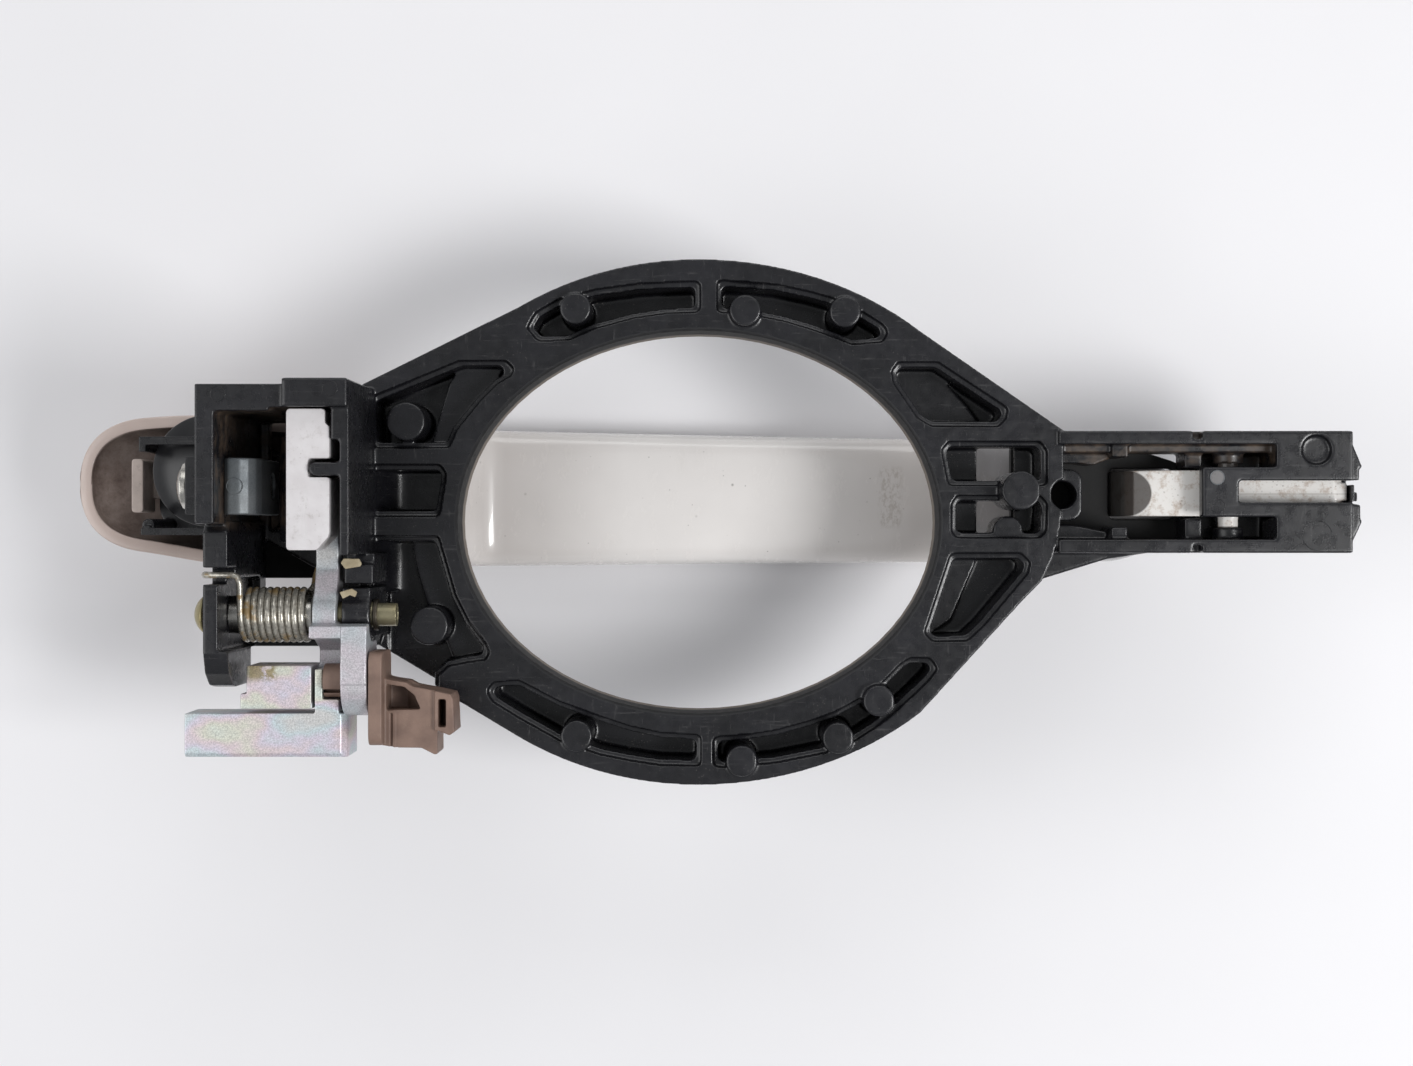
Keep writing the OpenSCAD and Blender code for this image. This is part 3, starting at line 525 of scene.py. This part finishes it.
def make_zinc(name, tints, rough, grain, metal=1.0, upper=None):
    mat, tree, shader = material(name, rough, metal=metal)
    where = place(tree)
    tint = ramp(tree, noise(tree, place(tree, (1, 1.5, 1)), 0.085, 2, 0.45), tints)
    if upper:
        tint = block_tint(tree, where, tint, upper)
    grains = noise(tree, where, 3.4, 4, 0.7)
    dark = blend(tree, band(tree, grains, 0.35, 0.62), GRAIN_DARK, WHITE)
    node = tree.nodes.new("ShaderNodeMix")
    node.data_type = "RGBA"
    node.blend_type = "MULTIPLY"
    node.inputs["Factor"].default_value = grain
    put(tree, tint, node.inputs["A"])
    put(tree, dark, node.inputs["B"])
    tree.links.new(node.outputs["Result"], shader.inputs["Base Color"])
    uneven = calc(tree, "MULTIPLY", band(tree, noise(tree, where, 0.6), 0.3, 0.7), 0.14)
    tree.links.new(calc(tree, "ADD", uneven, rough - 0.07), shader.inputs["Roughness"])
    tree.links.new(bump(tree, grains, 0.06, 0.5), shader.inputs["Normal"])
    return mat


weight_zinc = make_zinc("weight_zinc", RAINBOW, 0.42, 0.5, metal=0.45)
crank_zinc = make_zinc("crank_zinc", GREY, 0.42, 0.5, metal=0.45, upper=RAINBOW)
nut_zinc = make_zinc("nut_zinc", BLUE_GREY, 0.5, 0.3, metal=0.6)
yellow_steel = make_zinc("yellow_steel", YELLOW, 0.33, 0.2, metal=0.7)
bright_steel = make_zinc("bright_steel", BRIGHT, 0.2, 0.15)
dark_steel = make_zinc("dark_steel", DARK, 0.4, 0.3)
metals = (weight_zinc, crank_zinc, nut_zinc, yellow_steel, bright_steel, dark_steel)
print("metals", [metal.name for metal in metals])

# %% [markdown]
# ### Greased wire
# The spring is bright wire under grease that has turned brown. Most of the grease sits on the
# first turns and on the coil's two sides, so soft boxes mark these, and noise breaks the film
# up into patches. Grease is no metal, so it also takes the metal look away where it is thick.

# %% Places and colours of the spring
FIRST_TURNS = (ANY, (-88.5, None, None))
UPPER_SIDE, LOWER_SIDE = ((None, -13.6, None), ANY), (ANY, (None, -22.4, None))
WIRE_BRIGHT, WIRE_DULL, OLD_GREASE = rgb(186, 182, 172), rgb(150, 146, 137), rgb(128, 104, 62)
print("greasy up to", FIRST_TURNS[1][0], "mm")


# %% Greased spring wire
def make_spring_finish():
    mat, tree, shader = material("greased_wire", 0.24)
    where = place(tree)
    ends_share = calc(tree, "MAXIMUM", zone(tree, *FIRST_TURNS, 2), zone(tree, *UPPER_SIDE, 1))
    ends_share = calc(tree, "MAXIMUM", ends_share, zone(tree, *LOWER_SIDE, 1))
    greasy = band(tree, noise(tree, where, 0.36, 5, 0.6), 0.5, 0.58)
    thick = calc(tree, "ADD", calc(tree, "MULTIPLY", ends_share, 0.8), 0.1)
    grease = calc(tree, "MULTIPLY", greasy, thick)
    wire = blend(tree, band(tree, noise(tree, where, 1.8, 3), 0.4, 0.6), WIRE_BRIGHT, WIRE_DULL)
    base = blend(tree, grease, wire, OLD_GREASE)
    tree.links.new(base, shader.inputs["Base Color"])
    metal = calc(tree, "SUBTRACT", 0.62, calc(tree, "MULTIPLY", grease, 0.55))
    tree.links.new(metal, shader.inputs["Metallic"])
    rough = calc(tree, "ADD", 0.24, calc(tree, "MULTIPLY", grease, 0.16))
    tree.links.new(rough, shader.inputs["Roughness"])
    tree.links.new(bump(tree, noise(tree, where, 1.2, 4), 0.12, 0.35), shader.inputs["Normal"])
    return mat


greased_wire = make_spring_finish()
print(greased_wire.name, len(greased_wire.node_tree.nodes), "nodes")

# %% [markdown]
# ### Other plastics, rubber and felt
# These are plain materials that differ in colour, gloss and grain. One recipe does for all:
# two shades in slow patches, specks and a thin film of dirt, and a fine bump for the surface.


# %% Other plastics, rubber and felt
def make_plastic(name, colour, shade, rough, grain_mm, dirt, dirt_colour=(90, 80, 72)):
    mat, tree, shader = material(name, rough)
    where = place(tree)
    base = blend(tree, band(tree, noise(tree, where, 0.22, 4), 0.35, 0.65), colour, shade)
    patches = band(tree, noise(tree, where, 0.25), 0.48, 0.6)
    spots = calc(tree, "MULTIPLY", specks(tree, where, 1.0, 0.13), patches)
    film = band(tree, noise(tree, where, 0.6, 7, 0.72), 0.55, 0.72)
    soil = calc(tree, "MAXIMUM", spots, calc(tree, "MULTIPLY", film, 0.5))
    base = tinge(tree, base, soil, dirt, rgb(*dirt_colour))
    tree.links.new(base, shader.inputs["Base Color"])
    tree.links.new(bump(tree, noise(tree, where, 2.6, 3), grain_mm, 0.5), shader.inputs["Normal"])
    return mat


white_pom = make_plastic(
    "white_pom", rgb(206, 203, 204), rgb(196, 192, 193), 0.42, 0.02, 0.7, (120, 110, 100))
pale_plastic = make_plastic("pale_plastic", rgb(188, 174, 166), rgb(168, 154, 146), 0.5, 0.03, 0.8)
brown_pom = make_plastic(
    "brown_pom", rgb(126, 103, 91), rgb(106, 85, 75), 0.55, 0.05, 0.35, (160, 140, 122))
rubber = make_plastic("rubber", rgb(15, 15, 16), rgb(22, 21, 21), 0.75, 0.05, 0.3, (60, 52, 46))
blank_black = make_plastic(
    "blank_black", rgb(26, 26, 28), rgb(32, 32, 34), 0.28, 0.01, 0.3, (70, 66, 62))
felt = make_plastic("felt", rgb(172, 160, 134), rgb(140, 126, 100), 0.95, 0.3, 0.5)
print("plastics", [m.name for m in (white_pom, pale_plastic, brown_pom, rubber, blank_black, felt)])

# %% [markdown]
# ### Table
# The table is pale and nearly plain. Its underside is see-through, so a view from below shows
# the handle's painted side instead of the back of the floor.


# %% Table
def make_floor():
    mat, tree, shader = material("table", 0.55)
    clouds = band(tree, noise(tree, place(tree), 0.006, 3), 0.3, 0.7)
    base = blend(tree, clouds, rgb(228, 227, 229), rgb(222, 221, 223))
    tree.links.new(base, shader.inputs["Base Color"])
    side = tree.nodes.new("ShaderNodeNewGeometry")
    clear = tree.nodes.new("ShaderNodeBsdfTransparent")
    either = tree.nodes.new("ShaderNodeMixShader")
    output = next(node for node in tree.nodes if node.type == "OUTPUT_MATERIAL")
    tree.links.new(side.outputs["Backfacing"], either.inputs[0])
    tree.links.new(shader.outputs[0], either.inputs[1])
    tree.links.new(clear.outputs[0], either.inputs[2])
    tree.links.new(either.outputs[0], output.inputs["Surface"])
    return mat


floor.data.materials.append(make_floor())
print("materials", len(bpy.data.materials))

# %% [markdown]
# ## Moulded edges
# A moulding or a casting has a small radius on every edge, outside and inside. A bevel could
# round each edge by itself, but fails where many small edges meet. So each CAD part is copied
# and rebuilt on a fine grid, which is relaxed until the edges are round. Decimate then takes
# the needless faces from the flat areas, and weighted normals keep these flat.


# %% Rounded copies
def keep_mesh(obj):
    """Applies the object's modifiers by taking its evaluated mesh."""
    bpy.context.view_layer.update()
    mesh = bpy.data.meshes.new_from_object(obj.evaluated_get(bpy.context.evaluated_depsgraph_get()))
    obj.modifiers.clear()
    obj.data = mesh


def smooth(obj, angle):
    for face in obj.data.polygons:
        face.use_smooth = True
    obj.data.set_sharp_from_angle(angle=math.radians(angle))


def finish_piece(obj, body, finish=None):
    if finish:
        obj.data.materials.clear()
        obj.data.materials.append(finish)
    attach(obj, body)


SAME_POINT = 2e-6
FLAT_WEIGHT = 70


def rounded_copy(node, grid_mm, passes, most_faces, finish):
    mesh = nodes[node].data.copy()
    shape = bmesh.new()
    shape.from_mesh(mesh)
    bmesh.ops.remove_doubles(shape, verts=shape.verts, dist=SAME_POINT)
    shape.to_mesh(mesh)
    shape.free()
    obj = link(node + "_body", mesh)
    grid = obj.modifiers.new("grid", "REMESH")
    grid.mode = "VOXEL"
    grid.voxel_size = grid_mm * MM
    keep_mesh(obj)
    relax = obj.modifiers.new("relax", "SMOOTH")
    relax.factor = 0.5
    relax.iterations = passes
    thin = obj.modifiers.new("thin", "DECIMATE")
    thin.ratio = min(1.0, most_faces / (2 * len(obj.data.polygons)))
    keep_mesh(obj)
    for face in obj.data.polygons:
        face.use_smooth = True
    flat = obj.modifiers.new("flat", "WEIGHTED_NORMAL")
    flat.weight = FLAT_WEIGHT
    keep_mesh(obj)
    finish_piece(obj, body_of[node], finish)
    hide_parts(node)
    return obj


edges = {     # grid in millimetres, passes of the smoother, most faces, finish
    "base_frame": (0.3, 5, 195000, black_nylon), "front_gasket": (0.25, 5, 30000, rubber),
    "rear_gasket": (0.25, 5, 30000, rubber), "cover_carrier": (0.2, 4, 50000, black_nylon),
    "cover_clip": (0.15, 5, 12000, pale_plastic), "lock_blank": (0.2, 5, 30000, blank_black),
    "cover_screw": (0.1, 3, 30000, bright_steel), "clamp_nut": (0.2, 14, 20000, nut_zinc),
    "crank_shaft": (0.1, 4, 30000, yellow_steel), "shaft_washer": (0.1, 2, 12000, dark_steel),
    "spring_bush": (0.12, 4, 16000, bright_steel), "stop_pad": (0.15, 5, 8000, felt),
    "grip_leg": (0.2, 5, 50000, black_nylon), "hook_shoe": (0.2, 4, 30000, white_pom),
    "front_arm": (0.2, 8, 50000, arm_paint), "bell_crank": (0.18, 5, 60000, crank_zinc),
    "counterweight": (0.18, 4, 40000, weight_zinc), "rod_clip": (0.18, 4, 40000, brown_pom)}
for node, recipe in edges.items():
    piece = rounded_copy(node, *recipe)
    print(node, len(piece.data.polygons), "faces")

# %% [markdown]
# ## The painted skins
# Grip and cover are one flowing shape that follows a rule: a crown along the length, a half
# width that tapers, and rounded ends. A loft through many sections of that rule is smoother
# than the CAD part, and it keeps the CAD part's sizes. All numbers of the rule are millimetres.

# %% The rule of the skin
LENGTH_HALF = cad_box[1][0] / MM
FOOT, RIM, SEAM = 30.8, 31.2, 6.0
CROWN_R, CROWN_FLAT = 351.0, 1.0
GRIP_T, GRIP_Y, GRIP_HW = 13.0, 5.1, 14.1
GRIP_REAR, GRIP_FRONT = -75.6, 97.0
GRIP_SLOPE, GRIP_TAPER = 0.006, 0.0145
REAR_SHIFT = (-84, 36, 2)     # start, length and amount, and so for the next one
REAR_TAPER = (-98, 34, 3)
FEET = ((-46, 17), (50, 22))     # start and length of the rise to each foot
NOSE = {"rear": (-117.5, -LENGTH_HALF, 2.4), "front": (84.0, GRIP_FRONT, 2.0)}
STATION_STEP = 1.6
print("half length", LENGTH_HALF, "mm")


def ease(t):
    t = min(max(t, 0.0), 1.0)
    return t * t * (3 - 2 * t)


def ends(x):
    share = 1.0
    for start, stop, power in NOSE.values():
        d = (x - start) / (stop - start)
        if d > 0:
            share = max(0.0, 1 - min(d, 1) ** power) ** (1 / power)
    return share


def crown(x):
    return x * x / (2 * CROWN_R) - CROWN_FLAT


def middle(x):
    start, length, shift = REAR_SHIFT
    return GRIP_Y - GRIP_SLOPE * x + shift * ease((start - x) / length)


def half_width(x):
    start, length, loss = REAR_TAPER
    return (GRIP_HW - GRIP_TAPER * x - loss * ease((start - x) / length)) * ends(x)


def inner_face(x):
    (rear, rear_length), (front, front_length) = FEET
    raised = ease((rear - x) / rear_length) + ease((x - front) / front_length)
    return GRIP_T + (FOOT - GRIP_T) * raised


def outer_face(x, top=FOOT):
    return top - (top - crown(x)) * ends(x)


# %% Sections of the skin
def squared(v, power):
    return math.copysign(abs(v) ** power, v)


def half_section(x, width, side, far, power, count):
    """Points of half a rounded section, from height side at its two edges to far at its middle."""
    points = []
    for i in range(count + 1):
        turn = math.pi * i / count
        z = side + (far - side) * squared(math.sin(turn), power)
        y = middle(x) + width * squared(math.cos(turn), power)
        points.append(Vector((x, y, max(z, 0.0))) * MM)
    return points


def stations(low, high, rear_nose=False, front_nose=False):
    """Places along X, closer together towards a rounded end."""
    count = max(2, round((high - low) / STATION_STEP))
    xs = [low + (high - low) * i / count for i in range(count + 1)]
    start, stop = NOSE["front"][:2]
    if front_nose:
        xs += [start + (stop - start) * math.sin(math.radians(a)) for a in range(5, 90, 4)]
    start, stop = NOSE["rear"][:2]
    if rear_nose:
        xs = [start + (stop - start) * math.sin(math.radians(a)) for a in range(90, 4, -4)] + xs
    return xs


# %% Loft of the two grip shells
def loft(name, rings, closed=True):
    """A skin through rings of points, closed across each ring and capped at both ends."""
    n = len(rings[0])
    faces = []
    for j in range(len(rings) - 1):
        for i in range(n if closed else n - 1):
            a, b = j * n + i, j * n + (i + 1) % n
            faces.append((a, b, b + n, a + n))
    if closed:
        faces += [tuple(range(n))[::-1], tuple(range((len(rings) - 1) * n, len(rings) * n))]
    mesh = bpy.data.meshes.new(name)
    mesh.from_pydata([p for ring in rings for p in ring], [], faces)
    shape = bmesh.new()
    shape.from_mesh(mesh)
    bmesh.ops.remove_doubles(shape, verts=shape.verts, dist=1e-7)
    bmesh.ops.recalc_face_normals(shape, faces=shape.faces)
    shape.to_mesh(mesh)
    shape.free()
    return link(name, mesh)


EDGE_R = 0.7     # rounding of the shells' rear edge, in millimetres
EDGE_TURNS = (20, 40, 60, 80)
GROOVE = 0.12    # depth of the groove along the seam
SEAM_GAP = 0.02
RING_POINTS = 56


def grip_ring(x, face, power, up, shrink):
    seam = outer_face(x) + min(SEAM, 0.45 * (inner_face(x) - outer_face(x)))
    width = max(half_width(x) - shrink, 0.05)
    far = face(x) - shrink * up
    near = seam + SEAM_GAP * up
    ring = half_section(x, width, near, far, power, RING_POINTS)
    inset = min(GROOVE, width * 0.3) * MM
    ring[0].y -= inset
    ring[-1].y += inset
    return ring


def grip_shell(name, face, power, up):
    xs = stations(GRIP_REAR + EDGE_R, NOSE["front"][0], front_nose=True)
    rings = [grip_ring(x, face, power, up, 0) for x in xs]
    for turn in EDGE_TURNS:
        back = EDGE_R * math.sin(math.radians(turn))
        shrink = EDGE_R * (1 - math.cos(math.radians(turn)))
        rings.insert(0, grip_ring(GRIP_REAR + EDGE_R - back, face, power, up, shrink))
    shell = loft(name, rings)
    smooth(shell, 40)
    return shell


outer_shell = grip_shell("grip_outer_skin", outer_face, 0.75, -1)
inner_shell = grip_shell("grip_inner_skin", inner_face, 0.55, 1)
for shell, node in ((outer_shell, "grip_outer_shell"), (inner_shell, "grip_inner_shell")):
    finish_piece(shell, "grip", grip_paint)
    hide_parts(node)
    print(shell.name, len(shell.data.polygons), "faces")

# %% [markdown]
# The end cover continues the grip's crown and closes round its rear end. It is a thin shell, so
# the outer skin is lofted once and Solidify gives it its wall, with the inside as a second finish.

# %% Sizes of the cover
COVER_FRONT, COVER_T = -76.1, 2.6
COVER_POWER, COVER_POINTS = 0.7, 48
RIM_R = 0.45
print("cover", COVER_FRONT + LENGTH_HALF, "mm long")


# %% End cover
def cover_skin():
    """The cover's outer skin, closed at its front by one flat face and open at its rim."""
    xs = stations(NOSE["rear"][0], COVER_FRONT, rear_nose=True)
    rings = [half_section(x, half_width(x), RIM, outer_face(x, RIM), COVER_POWER, COVER_POINTS)
             for x in xs]
    cover = loft("end_cover_skin", rings, closed=False)
    shape = bmesh.new()
    shape.from_mesh(cover.data)
    near = [v for v in shape.verts if abs(v.co.x - COVER_FRONT * MM) < 1e-6]
    near.sort(key=lambda v: v.co.y)
    shape.faces.new(near)
    bmesh.ops.recalc_face_normals(shape, faces=shape.faces)
    if sum(f.normal.z * f.calc_area() for f in shape.faces) > 0:
        bmesh.ops.reverse_faces(shape, faces=shape.faces)
    shape.to_mesh(cover.data)
    shape.free()
    return cover


def make_cover():
    cover = cover_skin()
    cover.data.materials.append(cover_paint)
    cover.data.materials.append(cover_inside)
    wall = cover.modifiers.new("wall", "SOLIDIFY")
    wall.thickness = COVER_T * MM
    wall.offset = -1
    wall.material_offset = 1
    wall.material_offset_rim = 0
    edge = cover.modifiers.new("rim", "BEVEL")
    edge.width = RIM_R * MM
    edge.segments = 3
    edge.limit_method = "ANGLE"
    edge.angle_limit = math.radians(50)
    edge.use_clamp_overlap = False
    keep_mesh(cover)
    smooth(cover, 40)
    return cover


cover = make_cover()
finish_piece(cover, "chassis")
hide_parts("end_cover")
print("cover", len(cover.data.polygons), "faces")

# %% [markdown]
# ## The torsion spring
# The wire runs from a hook over the bracket, round the bush, and under the crank's arm. Its
# route is a line of points, and Geometry Nodes sweep a round wire along it.

# %% Wire route
SHAFT_Y, SHAFT_Z = -18.1, 58.0
WIRE_D, COIL_D, COIL_TURNS = 1.28, 10.9, 9.75
COIL_X = (-90.8, -78.1)
COIL_R = (COIL_D - WIRE_D) / 2
TURN_STEPS = 40
HOOK = [(-97.6, -10.3, 61.5), (-97.6, -10.3, 62.9), (-97.2, -10.3, 63.4),
        (-92.2, -10.3, 63.5), (-91.3, -10.7, 63.4), (-90.9, -12, 63)]
LEG = [(-78.1, SHAFT_Y + COIL_R + 0.1, 56.4), (-78.1, -12.6, 54), (-78, -11, 53.2),
       (-77.6, -9.4, 53), (-76.6, -8.9, 53), (-73, -8.9, 53)]


def spring_route():
    route = list(HOOK)
    count = round(COIL_TURNS * TURN_STEPS)
    for i in range(count + 1):
        turn = math.tau * COIL_TURNS * i / count
        x = COIL_X[0] + (COIL_X[1] - COIL_X[0]) * i / count
        route.append((x, SHAFT_Y - COIL_R * math.sin(turn), SHAFT_Z + COIL_R * math.cos(turn)))
    return [Vector(p) * MM for p in route + LEG]


def polyline(name, points):
    mesh = bpy.data.meshes.new(name)
    mesh.from_pydata(points, [(i, i + 1) for i in range(len(points) - 1)], [])
    return link(name, mesh)


wire = polyline("torsion_spring_wire", spring_route())
print("route", len(wire.data.vertices), "points")


# %% Geometry Nodes that sweep a wire
def new_group(name, inputs):
    group = bpy.data.node_groups.new(name, "GeometryNodeTree")
    group.interface.new_socket("Geometry", in_out="INPUT", socket_type="NodeSocketGeometry")
    for label, kind in inputs:
        group.interface.new_socket(label, in_out="INPUT", socket_type=kind)
    group.interface.new_socket("Geometry", in_out="OUTPUT", socket_type="NodeSocketGeometry")
    return group, group.nodes.new("NodeGroupInput"), group.nodes.new("NodeGroupOutput")


def wire_group():
    group, start, end = new_group("swept_wire", [
        ("Wire Radius", "NodeSocketFloat"), ("Sides", "NodeSocketInt"),
        ("Finish", "NodeSocketMaterial")])
    add, join = group.nodes.new, group.links.new
    path = add("GeometryNodeMeshToCurve")
    circle = add("GeometryNodeCurvePrimitiveCircle")
    sweep = add("GeometryNodeCurveToMesh")
    shade = add("GeometryNodeSetShadeSmooth")
    real = add("GeometryNodeRealizeInstances")
    paint = add("GeometryNodeSetMaterial")
    join(start.outputs["Geometry"], path.inputs["Mesh"])
    join(start.outputs["Wire Radius"], circle.inputs["Radius"])
    join(start.outputs["Sides"], circle.inputs["Resolution"])
    join(path.outputs["Curve"], sweep.inputs["Curve"])
    join(circle.outputs["Curve"], sweep.inputs["Profile Curve"])
    sweep.inputs["Fill Caps"].default_value = True
    join(sweep.outputs["Mesh"], shade.inputs["Geometry"])
    join(shade.outputs["Geometry"], real.inputs["Geometry"])
    join(real.outputs["Geometry"], paint.inputs["Geometry"])
    join(start.outputs["Finish"], paint.inputs["Material"])
    join(paint.outputs["Geometry"], end.inputs["Geometry"])
    return group


def run_group(obj, group, values):
    """Runs a node group on obj with named values and keeps the mesh."""
    modifier = obj.modifiers.new(group.name, "NODES")
    modifier.node_group = group
    for item in group.interface.items_tree:
        if item.in_out == "INPUT" and item.name in values:
            modifier[item.identifier] = values[item.name]
    keep_mesh(obj)


WIRE_SIDES = 14
wire_sizes = {"Wire Radius": WIRE_D / 2 * MM, "Sides": WIRE_SIDES, "Finish": greased_wire}
run_group(wire, wire_group(), wire_sizes)
smooth(wire, 60)
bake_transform(wire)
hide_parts("torsion_spring")
print("spring", len(wire.data.polygons), "faces")

# %% [markdown]
# ## Ejector marks
# Pins push a moulding out of its mould and leave round marks. One node group sets a thin ring
# on every point of a list, so all marks of one size come from one small shape.


# %% Geometry Nodes that set rings on points
def mark_group():
    group, start, end = new_group("ejector_marks", [
        ("Mark Radius", "NodeSocketFloat"), ("Line Radius", "NodeSocketFloat"),
        ("Finish", "NodeSocketMaterial")])
    add, join = group.nodes.new, group.links.new
    ring = add("GeometryNodeCurvePrimitiveCircle")
    ring.inputs["Resolution"].default_value = 40
    line = add("GeometryNodeCurvePrimitiveCircle")
    line.inputs["Resolution"].default_value = 6
    sweep = add("GeometryNodeCurveToMesh")
    spread = add("GeometryNodeInstanceOnPoints")
    real = add("GeometryNodeRealizeInstances")
    shade = add("GeometryNodeSetShadeSmooth")
    paint = add("GeometryNodeSetMaterial")
    join(start.outputs["Mark Radius"], ring.inputs["Radius"])
    join(start.outputs["Line Radius"], line.inputs["Radius"])
    join(ring.outputs["Curve"], sweep.inputs["Curve"])
    join(line.outputs["Curve"], sweep.inputs["Profile Curve"])
    join(start.outputs["Geometry"], spread.inputs["Points"])
    join(sweep.outputs["Mesh"], spread.inputs["Instance"])
    join(spread.outputs["Instances"], real.inputs["Geometry"])
    join(real.outputs["Geometry"], shade.inputs["Geometry"])
    join(shade.outputs["Geometry"], paint.inputs["Geometry"])
    join(start.outputs["Finish"], paint.inputs["Material"])
    join(paint.outputs["Geometry"], end.inputs["Geometry"])
    return group


# %% The marks
LINE_R = 0.07
mark_sets = {     # radius in millimetres, finish, the node that carries them, and their places
    "small_marks": (1.4, black_nylon, "base_frame",
                    [(-91.7, 23.7, 78), (-70.5, 24.6, 80), (101.2, 3.2, 49)]),
    "large_marks": (2.95, black_nylon, "base_frame", [(121, -2.7, 49)]),
    "pin_mark": (1.42, nut_zinc, "base_frame", [(101.1, 8.9, 49)]),
    "nut_mark": (1.55, nut_zinc, "clamp_nut", [(-90.2, 6.7, 70.5)])}
marks = mark_group()
for name, (radius, finish, node, points) in mark_sets.items():
    mesh = bpy.data.meshes.new(name)
    mesh.from_pydata([Vector(p) * MM for p in points], [], [])
    rings = link(name, mesh)
    sizes = {"Mark Radius": radius * MM, "Line Radius": LINE_R * MM, "Finish": finish}
    run_group(rings, marks, sizes)
    finish_piece(rings, body_of[node])
    print(name, len(points))

# %% [markdown]
# ## The end

# %% The end
print("done")
